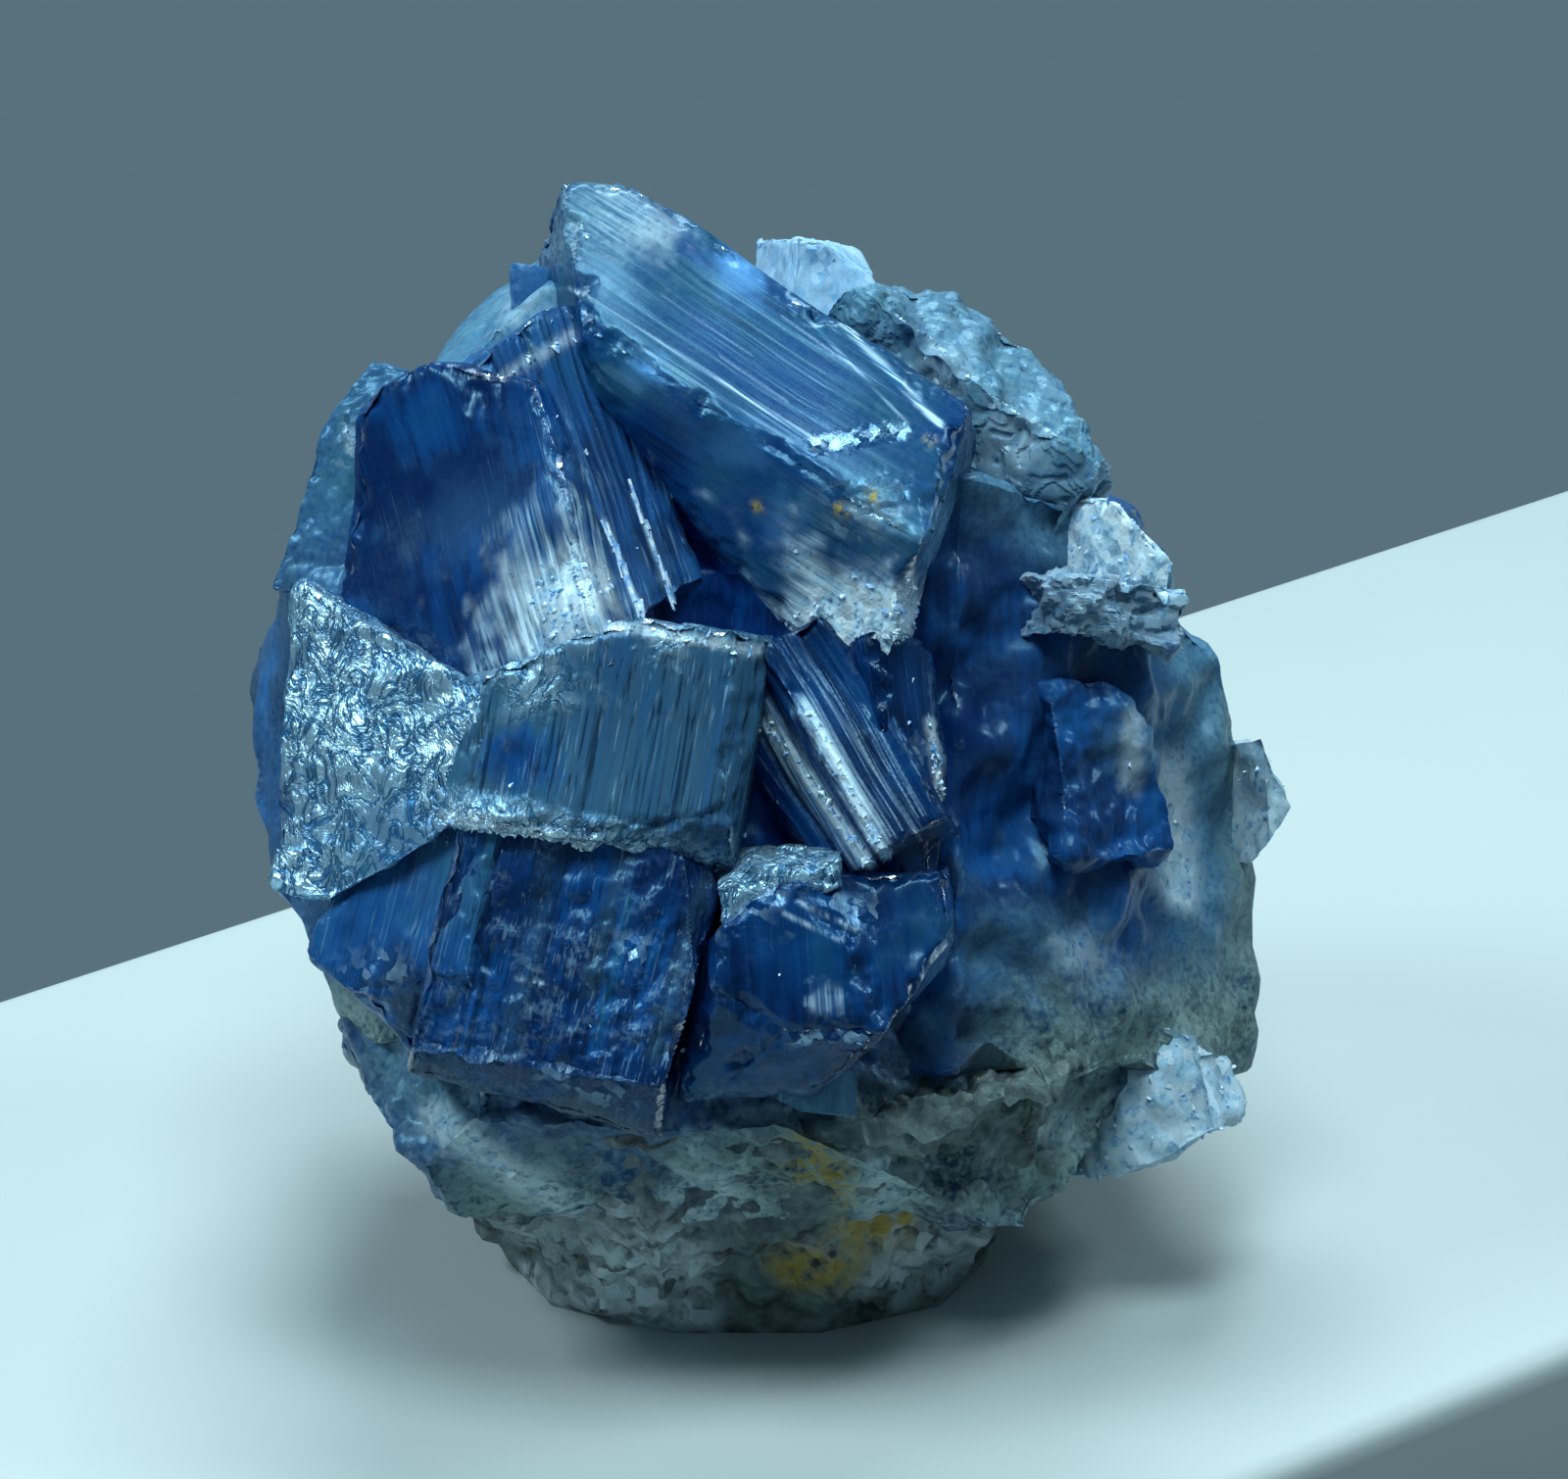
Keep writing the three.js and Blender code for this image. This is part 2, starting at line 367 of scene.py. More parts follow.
@finish
def chipped(points, face, depth, width, seed, size=0.5):
    """Chips off the rim of each face, here and there."""
    ragged = 0.5 + 0.9 * fractal(points, size, 3, seed)
    reach = width * np.clip(ragged, 0, 1.4)
    near_rim = smooth(1.0, 0.0, face[2] / np.maximum(reach, 1e-3))
    return -depth * near_rim * np.clip(ragged, 0.1, 1.2)


@finish
def grain_finish(points, _, depth, size, seed):
    """Granular, sugary roughness."""
    lumps = 0.5 * fractal(points, size * 2.4, 2, seed + 3)
    return depth * (facets(points, size, seed, 0.8, 1.4) - 0.3 + lumps)


@finish
def above_table(points, face, rough):
    """Another finish, but fading to nothing on the flat underside that the rock stands on."""
    flat_below = upright(face[0][None])[0, 2] < -0.99
    if flat_below:
        return np.zeros(len(points))
    return rough(points, face) * smooth(0.0, 0.5, upright(points)[:, 2])


def rim_distance(points, own, normals, offsets):
    """How far points on face number own are from that face's nearest rim."""
    nearest = np.full(len(points), 99.0)
    for k in range(len(normals)):
        lean_between = abs(normals[k] @ normals[own])
        if k == own or lean_between > 0.999:
            continue
        gap = (offsets[k] - points @ normals[k]) / math.sqrt(1 - lean_between**2)
        nearest = np.minimum(nearest, gap)
    return np.maximum(nearest, 0)


# --------------------------------------------------------------------- the crystals
# middle is (right, up, out). size is (width, length, depth) while the crystal still
# stands straight. turn, tip and roll are degrees, as turned() has them. A hex crystal
# has a ridge in front. Each cut is a plane (clock, lift, reach): it faces clock degrees
# to the left of straight up, lifted to the viewer, and lies reach from the middle.
#
# A look says how strong each paint is, from 0 to 1: base levels by name, then marks.
# Marks are (paint, (across, along), radius, strength), or with a second (across, along),
# a streak that reaches radius to either side of the line between its two places. Across
# and along run from -1 to 1 over the crystal's own width and length, radius is in mm.

CRYSTALS = {}  # name: its flat-faced shape, its finishes and its paints


def grow_solid(name, corners, axis, middle=(0, 0), half=(1, 1), turn=0, *,
               edge, stretch=1.0, finishes, look, marks=()):
    """Lists a crystal by its corners. edge is the length of its triangles' sides."""
    verts, tris, sides = hull(corners)
    CRYSTALS[name] = {
        "number": len(CRYSTALS),
        "hull": (verts, tris, sides),
        "planes": side_planes(verts, tris, sides),
        "axis": axis,
        "middle": np.array(middle),
        "half": np.array(half),
        "turn": math.radians(turn),
        "edge": edge,
        "stretch": stretch,
        "finishes": finishes,
        "look": look,
        "marks": marks,
    }


def grow(name, middle, size, turn=0, tip=0, roll=0, is_hex=False, cuts=(), **surface):
    """Lists a crystal that is a cut prism. surface goes on to grow_solid()."""
    corners = crystal_corners(middle, size, turn, tip, roll, is_hex, cuts)
    axis = turned(turn, tip, roll) @ (0, 1, 0)
    half = (size[0] / 2, size[1] / 2)
    grow_solid(name, corners, axis, middle[:2], half, turn, **surface)


grow(
    "crown", middle=(-0.48, 12.88, 6.1), size=(4.4, 8.4, 5.2), turn=56, tip=-11, is_hex=True,
    cuts=((-108, 5, 3.45), (95, 15, 2.6), (-5, 5, 3.6), (128, 5, 1.5)),
    edge=0.05, stretch=2.0,
    finishes=(
        striae(0.008, 0.14, 1), chipped(0.10, 0.22, 2), chipped(0.12, 0.4, 4, size=0.6),
        crinkle(0.08, 0.45, 3, ends_only=True),
    ),
    look={"deep": 0.5, "streak": 0.12},
    marks=(
        ("streak", (0.6, 0.1), 1.7, 0.6), ("streak", (-0.3, -0.5), 0.9, 0.7),
        ("deep", (0.6, 0.1), 1.6, 0.62), ("milk", (0.6, 0.1), 1.5, 0.12),
        ("deep", (-0.6, 0.2), 1.1, 0.85),
        ("deep", (-0.4, 0.15), 0.7, 0.82), ("teal", (0.7, 0.8), 1.0, 0.8),
        ("deep", (-0.1, -0.05), 0.55, 0.5), ("milk", (-0.1, -0.05), 0.5, 0.3),
        ("silver", (0.75, 0.8), 0.8, 0.45), ("silver", (0.35, 0.95), 0.6, 0.45),
        ("frost", (0.8, 0.64), 0.4, 0.3),
        ("silver", (0.14, 0.8), (0.2, -0.3), 0.045, 1.0),
        ("silver", (0.05, 0.7), (0.1, -0.2), 0.03, 0.8),
        ("silver", (0.45, 0.5), (0.45, 0.1), 0.02, 0.5),
        ("silver", (0.62, 0.2), (0.62, -0.2), 0.02, 0.4),
        ("silver", (0.8, 0.1), (0.78, -0.2), 0.02, 0.5),
        ("silver", (0.32, 0.2), (0.32, -0.1), 0.02, 0.4),
        ("silver", (1.0, -0.1), (0.78, -0.6), 0.08, 1.0),
        ("silver", (0.88, 0.0), (0.66, -0.5), 0.03, 0.8),
        ("milk", (0.9, 0.32), 0.5, 0.8), ("milk", (-0.05, 0.4), 0.35, 0.8),
        ("milk", (-0.4, -0.35), 0.5, 0.4),
        ("spark", (0.17, -0.27), (0.6, -0.5), 0.15, 0.9), ("spark", (0.0, -0.55), 0.6, 0.6),
        ("milk", (0.17, -0.85), 0.6, 0.5), ("deep", (0.2, -0.85), 0.9, 0.15),
        # the foot: crushed white beryl and cleavage, painted brighter than its own colour as painted light
        # where backlight shines through it
        ("silver", (-0.85, -0.70), 1.2, 1.0), ("frost", (-0.9, -0.72), 1.2, 1.0),
        ("milk", (-0.4, -0.95), 0.7, 0.6), ("frost", (-0.55, -0.85), 0.7, 1.0),
        ("teal", (0.0, -0.55), 0.7, 0.5), ("frost", (0.0, -0.6), 0.4, 0.15),
        ("ochre", (-0.4, -0.22), 0.12, 1.0), ("ochre", (-0.1, -0.48), 0.14, 1.0),
        ("ochre", (0.1, -0.55), 0.12, 1.0),
        ("ochre", (0.65, -0.6), 0.12, 0.9),
    ),
)
grow(
    "comb", middle=(-2.9, 11.6, 6.7), size=(3.0, 5.6, 3.4), turn=17, tip=-9, is_hex=True,
    cuts=((37, 0, 2.7), (-145, 0, 1.9)),
    edge=0.05, stretch=4.0, finishes=(striae(0.07, 0.10, 11), chipped(0.10, 0.30, 12)),
    look={"deep": 0.68, "streak": 0.9, "milk": 0.15},
    marks=(
        ("frost", (-0.8, 0.75), (0.6, 0.95), 0.12, 0.4), ("deep", (0.6, 0.2), 0.9, 0.95),
        ("deep", (0.7, -0.3), 0.5, 1.0),
        ("silver", (-0.6, -0.35), 1.0, 1.0), ("silver", (-0.2, -0.6), 0.7, 1.0),
        ("frost", (-0.6, -0.4), 0.7, 0.5),
        ("silver", (0.55, 0.0), (0.65, -0.8), 0.05, 1.0),
        ("silver", (0.2, -0.1), (0.3, -0.8), 0.06, 1.0),
        ("ochre", (-0.55, 0.2), 0.16, 0.9), ("ochre", (-0.2, -0.1), 0.15, 0.9),
    ),
)
grow(
    "left_window", middle=(-3.9, 10.8, 6.1), size=(4.6, 5.6, 4.0), turn=15, tip=-15, roll=-30,
    cuts=((146, 0, 2.2), (180, 0, 2.0), (84, 0, 2.7), (-6, 0, 2.8)),
    edge=0.08,
    finishes=(swell(0.04, 1.8, 21), chipped(0.10, 0.30, 22), chipped(0.20, 0.6, 23, size=1.0)),
    look={"deep": 0.9, "streak": 0.12},
    marks=(
        ("silver", (0.3, -0.15), 1.1, 1.0), ("silver", (0.0, -0.5), 0.9, 1.0),
        ("frost", (0.25, -0.3), 0.9, 0.6), ("milk", (-0.2, 0.3), 0.9, 0.15),
        ("streak", (0.8, 0.4), 1.4, 0.9), ("milk", (0.9, 0.4), 1.2, 0.22),
        ("deep", (-0.3, 0.85), 0.8, 0.6), ("deep", (-0.5, -0.1), 1.1, 0.95),
    ),
)
grow(
    "left_rim", middle=(-6.0, 11.9, 4.7), size=(1.8, 3.8, 2.2), turn=-18, roll=-20,
    cuts=((50, 0, 1.4),),
    edge=0.07, finishes=(crinkle(0.10, 0.35, 31), chipped(0.10, 0.30, 32)),
    look={"deep": 0.6, "teal": 0.6},
    marks=(("spark", (-0.6, 0.4), 0.5, 0.9), ("frost", (-0.6, 0.4), 0.3, 0.5)),
)
grow(
    "foil", middle=(-5.3, 7.9, 6.6), size=(4.4, 5.4, 3.8), turn=4, tip=-6, roll=-30,
    cuts=((-31, 0, 1.3), (-150, 0, 1.2), (163, 0, 2.5), (85, 0, 2.1)),
    edge=0.055, finishes=(crinkle(0.10, 0.50, 41), swell(0.12, 1.4, 42)),
    look={"deep": 0.6, "foil": 1.0},
    marks=(
        ("foil", (-0.2, -0.6), 1.3, 0.42), ("silver", (-0.7, 0.65), 0.6, 0.35),
        ("foil", (-1.1, -0.2), 0.5, 0.15), ("deep", (-1.1, -0.2), 0.6, 0.95),
        ("frost", (-0.7, -0.9), (-0.4, -0.95), 0.10, 0.8), ("ochre", (-0.75, -0.8), 0.06, 0.8),
    ),
)
grow(
    "front_slab", middle=(-2.5, 8.1, 7.8), size=(4.6, 3.6, 3.6), turn=-10, tip=-5, roll=-6,
    cuts=((20, 0, 1.6), (-90, 38, 2.7), (80, 45, 2.5), (180, 45, 2.3)),
    edge=0.05, stretch=3.0,
    finishes=(
        striae(0.03, 0.10, 51), crinkle(0.08, 0.35, 52, ends_only=True), chipped(0.12, 0.25, 53),
        chipped(0.10, 0.4, 54, size=0.6),
    ),
    look={"deep": 0.55, "streak": 0.8, "smoke": 0.85},
    marks=(
        ("foil", (-0.6, 0.65), 1.0, 0.65), ("foil", (0.3, 0.9), 0.35, 0.5),
        ("deep", (-0.55, -0.3), 0.6, 1.0), ("smoke", (-0.55, -0.3), 0.55, 0.1),
        ("foil", (-0.9, -0.85), (0.9, -0.95), 0.42, 0.75),
        ("frost", (-0.9, -0.9), (0.9, -1.0), 0.20, 0.6),
        ("frost", (-0.2, 0.95), (0.9, 0.95), 0.10, 0.5), ("deep", (0.3, 0.3), (0.6, 0.28), 0.05, 1.0),
    ),
)
grow(
    "front_prism", middle=(-2.9, 4.9, 7.6), size=(4.0, 4.8, 3.4), turn=-14, tip=4, roll=-6,
    cuts=((-85, 38, 2.5), (166, 45, 2.4)),
    edge=0.05, stretch=3.0,
    finishes=(
        striae(0.02, 0.12, 61), crinkle(0.08, 0.35, 62, ends_only=True), chipped(0.08, 0.20, 63),
        chipped(0.10, 0.4, 64, size=0.6),
    ),
    look={"deep": 0.98, "streak": 0.6, "smoke": 0.08},
    marks=(
        ("foil", (-1.0, 1.0), (1.0, 1.0), 0.30, 0.6), ("frost", (-0.2, 0.95), (0.8, 0.95), 0.20, 0.6),
        ("smoke", (-0.35, 0.6), (-0.35, -0.7), 0.20, 0.4),
        ("smoke", (0.15, 0.9), (0.15, -0.2), 0.2, 0.5),
        ("smoke", (0.8, 0.6), (0.75, -0.5), 0.16, 0.6),
        ("smoke", (-0.85, 0.7), (-0.85, -0.5), 0.12, 0.5),
        ("deep", (-0.65, 0.6), (-0.65, -0.8), 0.18, 0.98),
        ("deep", (-0.05, 0.7), (-0.05, -0.7), 0.20, 0.98),
        ("deep", (0.6, 0.5), (0.55, -0.8), 0.24, 0.9), ("deep", (0.3, 0.4), (0.3, -0.6), 0.14, 0.5),
        ("silver", (-0.4, -0.25), (-0.2, -0.25), 0.03, 0.8), ("spark", (0.4, 0.1), 0.3, 0.6),
        ("deep", (0.0, -0.8), (0.2, -0.9), 0.9, 1.0), ("rock", (-1.0, -1.1), (1.0, -1.1), 0.6, 0.35),
        ("spark", (0.0, -0.8), (0.6, -0.85), 0.25, 0.4),
    ),
)
grow(
    "front_left_prism", middle=(-5.1, 5.0, 6.6), size=(3.8, 4.8, 4.0), turn=-14, roll=-30,
    cuts=((60, 0, 1.7), (138, 0, 1.5), (-165, 0, 2.2), (160, 45, 2.1)),
    edge=0.06,
    finishes=(
        striae(0.03, 0.20, 71), swell(0.06, 1.2, 72), chipped(0.10, 0.30, 73),
        chipped(0.10, 0.4, 74, size=0.6),
    ),
    look={"deep": 0.7, "streak": 0.4, "smoke": 0.2},
    marks=(
        ("deep", (0.0, -0.35), 1.0, 0.98), ("deep", (0.1, 0.5), 0.8, 0.5),
        ("smoke", (0.1, 0.5), 0.9, 0.6),
        ("ochre", (0.5, 0.7), (0.5, 0.1), 0.03, 0.4), ("spark", (-0.4, -0.3), 0.5, 0.5),
        ("foil", (-0.6, 0.8), 0.5, 0.8), ("rock", (-0.8, -0.9), (0.8, -1.1), 0.7, 0.4),
    ),
)
grow(
    "banded", middle=(0.9, 7.7, 7.5), size=(2.2, 3.6, 3.6), turn=32, tip=-10, is_hex=True,
    edge=0.045, stretch=4.0, finishes=(striae(0.10, 0.16, 81), chipped(0.08, 0.20, 82)),
    look={"deep": 0.92, "streak": 0.6},
    marks=(
        ("silver", (-0.42, 0.7), (-0.24, -1.1), 0.24, 1.0),
        ("silver", (0.14, 0.55), (-0.02, -1.1), 0.17, 1.0),
        ("frost", (-0.42, 0.6), (-0.24, -1.0), 0.12, 0.55),
        ("frost", (0.14, 0.5), (-0.02, -1.0), 0.09, 0.6),
        ("silver", (-0.14, 0.8), (-0.13, -1.0), 0.05, 0.0),
        ("frost", (-0.14, 0.8), (-0.13, -1.0), 0.05, 0.0),
        ("silver", (0.46, 0.57), (0.52, -1.0), 0.04, 0.6),
        ("spark", (-0.3, -0.9), (0.3, -0.95), 0.20, 0.6),
    ),
)
grow(
    "dark_prism", middle=(1.7, 7.7, 6.8), size=(1.8, 3.8, 3.6), turn=8, is_hex=True,
    cuts=((-28, 0, 1.9), (-95, 0, 0.9)),
    edge=0.07, finishes=(striae(0.04, 0.20, 91), chipped(0.15, 0.30, 92)),
    look={"deep": 0.92, "streak": 0.45},
    marks=(("frost", (0.9, 0.3), (0.9, -0.3), 0.10, 0.6), ("spark", (0.8, 0.1), 0.4, 0.6)),
)
grow(
    "chip", middle=(0.1, 5.9, 8.8), size=(1.9, 0.9, 1.6), turn=4, tip=8,
    cuts=((35, 10, 0.6), (-150, 10, 0.6)),
    edge=0.04, finishes=(crinkle(0.12, 0.30, 101),), look={"deep": 0.5, "foil": 0.75, "spark": 0.6},
)
grow(
    "cobalt_lobe", middle=(0.7, 4.4, 7.3), size=(4.2, 3.2, 4.8), turn=4,
    cuts=((-132, 0, 1.2), (84, 10, 2.0), (37, 0, 1.6), (-60, 55, 2.3), (150, 50, 2.4), (180, 40, 2.1)),
    edge=0.06,
    finishes=(
        swell(0.10, 1.8, 111), crinkle(0.02, 0.6, 112), chipped(0.10, 0.30, 113),
        chipped(0.10, 0.4, 114, size=0.6),
    ),
    look={"deep": 0.78, "streak": 0.15},
    marks=(
        ("silver", (0.05, -0.15), 0.30, 0.9), ("spark", (-0.5, 0.8), 0.6, 0.7),
        ("silver", (-0.2, 0.7), (0.2, 0.4), 0.05, 0.7), ("silver", (-0.1, 0.8), (0.3, 0.5), 0.05, 0.6),
        ("spark", (-0.2, -0.5), (0.3, -0.5), 0.12, 0.8), ("spark", (0.4, 0.6), 0.3, 0.6),
        ("milk", (1.0, 0.3), (0.6, -0.6), 0.16, 0.6), ("milk", (0.6, -0.6), (0.1, -1.0), 0.16, 0.6),
        ("deep", (-0.7, -0.2), 0.5, 1.0), ("rock", (-0.8, -1.2), (0.3, -1.2), 0.6, 0.35),
    ),
)
grow(
    "flake", middle=(0.6, 2.8, 7.6), size=(1.1, 0.6, 1.6), roll=12, cuts=((150, 0, 0.3),),
    edge=0.06, finishes=(swell(0.05, 0.5, 121),), look={"deep": 0.25, "teal": 0.6},
)
grow(
    "sky_block", middle=(0.7, 15.3, 2.4), size=(1.4, 1.3, 2.6), turn=-6, roll=15,
    cuts=((-45, 10, 0.75),),
    edge=0.08, finishes=(swell(0.06, 0.8, 131), chipped(0.10, 0.20, 132)),
    look={"deep": 0.05, "milk": 0.4, "frost": 0.35},
)
grow(
    "teal_ridge", middle=(2.9, 12.9, 3.0), size=(2.8, 5.0, 5.0), turn=54, tip=-8, roll=20, is_hex=True,
    cuts=((0, 0, 2.2), (-60, 0, 1.8)),
    edge=0.07, finishes=(grain_finish(0.22, 0.45, 141), terraces(0.20, 1.1, 142)),
    look={"deep": 0.45, "teal": 0.85, "rock": 0.2, "spark": 0.15},
    marks=(
        ("frost", (0.4, 0.3), 0.5, 0.2), ("frost", (0.2, -0.3), 0.6, 0.2),
        ("deep", (0.7, 0.6), 0.4, 0.7),
    ),
)
grow(
    "left_shoulder", middle=(-3.9, 14.5, 4.4), size=(2.8, 2.8, 4.0), turn=-8, roll=-12,
    cuts=((42, 10, 0.4),),
    edge=0.08, finishes=(crinkle(0.15, 0.60, 151), chipped(0.10, 0.30, 152)),
    look={"deep": 0.45, "teal": 0.8}, marks=(("frost", (0.0, 0.2), 0.5, 0.2),),
)
grow(
    "pale_block", middle=(4.9, 11.2, 4.2), size=(1.4, 1.3, 2.6), turn=-5, roll=35,
    cuts=((-42, 0, 0.70),),
    edge=0.08, finishes=(swell(0.06, 0.8, 161), chipped(0.10, 0.20, 162)),
    look={"deep": 0.05, "milk": 0.5, "frost": 0.85},
)
grow(
    "stepped_ridge", middle=(4.9, 10.1, 4.9), size=(2.4, 0.9, 2.0), turn=-5, roll=38,
    edge=0.08, finishes=(terraces(0.30, 0.7, 171), crinkle(0.10, 0.40, 172)),
    look={"deep": 0.35, "teal": 0.5, "frost": 0.3},
)
grow(
    "right_step", middle=(4.6, 7.6, 4.2), size=(2.2, 2.7, 2.6), turn=6, roll=36, cuts=((-60, 0, 1.2),),
    edge=0.09, finishes=(swell(0.25, 0.9, 181), crinkle(0.08, 0.8, 182)),
    look={"deep": 0.88, "teal": 0.12},
    marks=(("teal", (1.0, 0.3), 0.7, 0.7), ("frost", (0.9, -0.2), (1.0, 0.5), 0.22, 0.45)),
)
grow(
    "right_knob", middle=(7.5, 7.1, 0.9), size=(1.2, 1.9, 2.6), turn=6, roll=40,
    cuts=((-60, 0, 0.7), (-130, 0, 0.7)),
    edge=0.08, finishes=(grain_finish(0.20, 0.40, 191),),
    look={"deep": 0.35, "frost": 0.45, "teal": 0.5, "rock": 0.2},
)
grow(
    "foot_lobe", middle=(5.9, 2.7, 2.2), size=(2.2, 2.4, 3.4), turn=12, roll=35, is_hex=True,
    cuts=((-40, 0, 1.1), (-150, 0, 1.1), (-8, 0, 0.85)),
    edge=0.09, finishes=(swell(0.22, 0.9, 201), crinkle(0.06, 0.50, 202)),
    look={"deep": 0.2, "milk": 0.35, "frost": 0.6, "teal": 0.4, "rock": 0.15},
    marks=(("ochre", (0.2, 0.5), 0.2, 0.6),),
)
grow(
    "left_flank", middle=(-4.9, 8.6, 2.4), size=(6.4, 10.4, 9.4),
    cuts=((72, 0, 3.2), (112, 0, 3.5), (34, 0, 4.0), (131, 0, 4.3), (90, 32, 3.0), (90, -30, 3.4)),
    edge=0.13, finishes=(crinkle(0.16, 0.8, 211), swell(0.20, 2.0, 212)),
    look={"deep": 0.92, "teal": 0.35, "streak": 0.25},
    marks=(
        ("rock", (-0.6, -1.0), (0.8, -1.0), 1.3, 0.9), ("teal", (-0.9, 0.4), 1.0, 0.6),
        ("deep", (-0.9, -0.2), 1.1, 0.8),
    ),
)
grow(
    "right_flank", middle=(3.6, 7.6, 1.6), size=(8.2, 9.4, 10.0),
    cuts=((-55, 0, 3.9), (-75, 0, 3.8), (-10, 0, 4.3), (-90, 31, 3.2), (-90, 52, 3.5), (-90, -35, 3.6)),
    edge=0.12, finishes=(swell(0.45, 2.2, 221), grain_finish(0.12, 0.5, 222), crinkle(0.08, 0.8, 223)),
    look={"deep": 0.9, "teal": 0.15},
    marks=(
        ("deep", (-0.4, 0.1), 1.8, 1.0), ("teal", (-0.4, 0.1), 1.5, 0.0),
        ("teal", (0.0, 0.95), (0.9, 0.4), 0.9, 0.8),
        ("teal", (0.9, 0.4), (0.9, -0.8), 1.5, 0.95), ("teal", (0.1, -0.7), 1.5, 0.8),
        ("deep", (0.9, -0.3), 1.2, 0.55),
        ("rock", (0.2, -1.0), (0.9, -0.9), 1.5, 0.9), ("rock", (1.0, -0.6), (1.0, 0.2), 0.6, 0.7),
        ("frost", (0.65, 0.0), (0.7, -0.4), 0.4, 0.45), ("milk", (0.6, 0.5), 0.9, 0.25),
        ("frost", (0.3, -0.6), 0.5, 0.25),
    ),
)
grow(
    "upper_body", middle=(-0.8, 13.0, 2.2), size=(6.6, 4.4, 7.6), turn=-4,
    cuts=((-35, 0, 2.3), (0, -40, 2.4)),
    edge=0.13, finishes=(swell(0.20, 2.2, 241), crinkle(0.16, 0.8, 242)),
    look={"deep": 0.85, "teal": 0.4},
)
grow(
    "lower_body", middle=(-0.3, 2.7, 3.0), size=(12.8, 4.2, 10.4),
    cuts=(
        (180, 30, 3.05), (126, 0, 4.8), (-132, 0, 4.6), (-90, 48, 4.3), (90, 37, 6.5), (180, -30, 2.4),
    ),
    edge=0.11,
    finishes=(grain_finish(0.26, 0.45, 231), grain_finish(0.12, 0.22, 233), swell(0.15, 1.2, 232)),
    look={"deep": 0.98, "teal": 0.2, "rock": 0.15, "streak": 0.1, "spark": 0.12},
    marks=(
        ("rock", (-0.6, -1.0), (0.0, -1.1), 1.4, 0.85), ("rock", (0.0, -0.8), (0.8, -0.4), 1.6, 0.95),
        ("ochre", (0.13, -0.45), (0.2, -0.7), 0.45, 0.9), ("deep", (-0.1, -0.6), 1.0, 1.0),
        ("teal", (-0.85, 0.2), (-0.5, -1.0), 0.7, 0.9),
        ("frost", (-0.75, -0.2), (-0.4, -1.0), 0.35, 0.4),
        ("frost", (-0.1, -0.9), 0.9, 0.35), ("teal", (0.7, -0.2), 1.2, 0.8),
        ("frost", (0.75, -0.3), 0.5, 0.3), ("frost", (0.32, -0.72), 0.7, 0.35),
    ),
)
grow(
    "heart", middle=(-0.6, 8.0, 2.4), size=(9.2, 9.6, 10.4),
    cuts=((-90, 45, 4.4), (90, 45, 5.4), (0, 40, 5.4), (180, 50, 5.2)),
    edge=0.18, finishes=(swell(0.30, 1.8, 251), crinkle(0.20, 0.7, 252)),
    look={"deep": 0.98, "streak": 0.1}, marks=(("rock", (-1.0, -1.0), (1.0, -1.0), 1.2, 0.9),),
)


# ----------------------------------------------------- the far side, and the matrix


def hex_prism(middle, radius, length, tip, turn):
    """Corners of a six-sided prism of the far side, given in the upright frame, and its axis."""
    corners = []
    lying = Matrix.Rotation(math.radians(turn), 3, "Z")
    lying = lying @ Matrix.Rotation(math.pi / 2 + math.radians(tip), 3, "X")
    for end in (-0.5, 0.5):
        for x, z in hexagon(radius, radius):
            corners.append(lying @ Vector((x, end * length, z)) + Vector(middle))
    return leaning(corners), leaning([lying @ Vector((0, 1, 0))])[0]


BACK_PRISMS = {
    "back_left_prism": dict(middle=(-3.4, 3.6, 8.6), radius=3.1, length=7.4, tip=24, turn=62),
    "back_upper_prism": dict(middle=(2.0, 4.0, 10.4), radius=2.5, length=6.4, tip=38, turn=-40),
    "back_right_prism": dict(middle=(4.6, 3.8, 5.4), radius=2.3, length=5.6, tip=62, turn=18),
    "back_lower_prism": dict(middle=(-0.6, 4.4, 4.6), radius=2.6, length=5.2, tip=76, turn=84),
}
for place, (name, shape) in enumerate(BACK_PRISMS.items()):
    seed = 300 + 10 * place
    grow_solid(
        name, *hex_prism(**shape), edge=0.13,
        finishes=(
            striae(0.06, 0.3, seed), chipped(0.3, 0.5, seed + 1),
            crinkle(0.2, 0.6, seed + 2, ends_only=True), swell(0.1, 1.5, seed + 3),
        ),
        look={"deep": 0.72, "teal": 0.35, "streak": 0.6, "smoke": 0.3},
    )

MATRIX_SIDES = 10
MATRIX_FOOT = dict(x=-0.4, y=-0.8, z=0.0, radius_x=3.8, radius_y=2.7)
MATRIX_TOP = dict(x=-0.4, y=-2.2, z=5.0, radius_x=5.5, radius_y=4.1)
SEAT_FILL = 0.45  # how far the rock grows into the gap that the CAD leaves round it


def oval_ring(x, y, z, radius_x, radius_y, grown=0.0):
    """Corners of a level oval in the upright frame."""
    angles = [math.tau * k / MATRIX_SIDES for k in range(MATRIX_SIDES)]
    wide, deep = radius_x + grown, radius_y + grown
    return [(x + wide * math.cos(a), y + deep * math.sin(a), z) for a in angles]


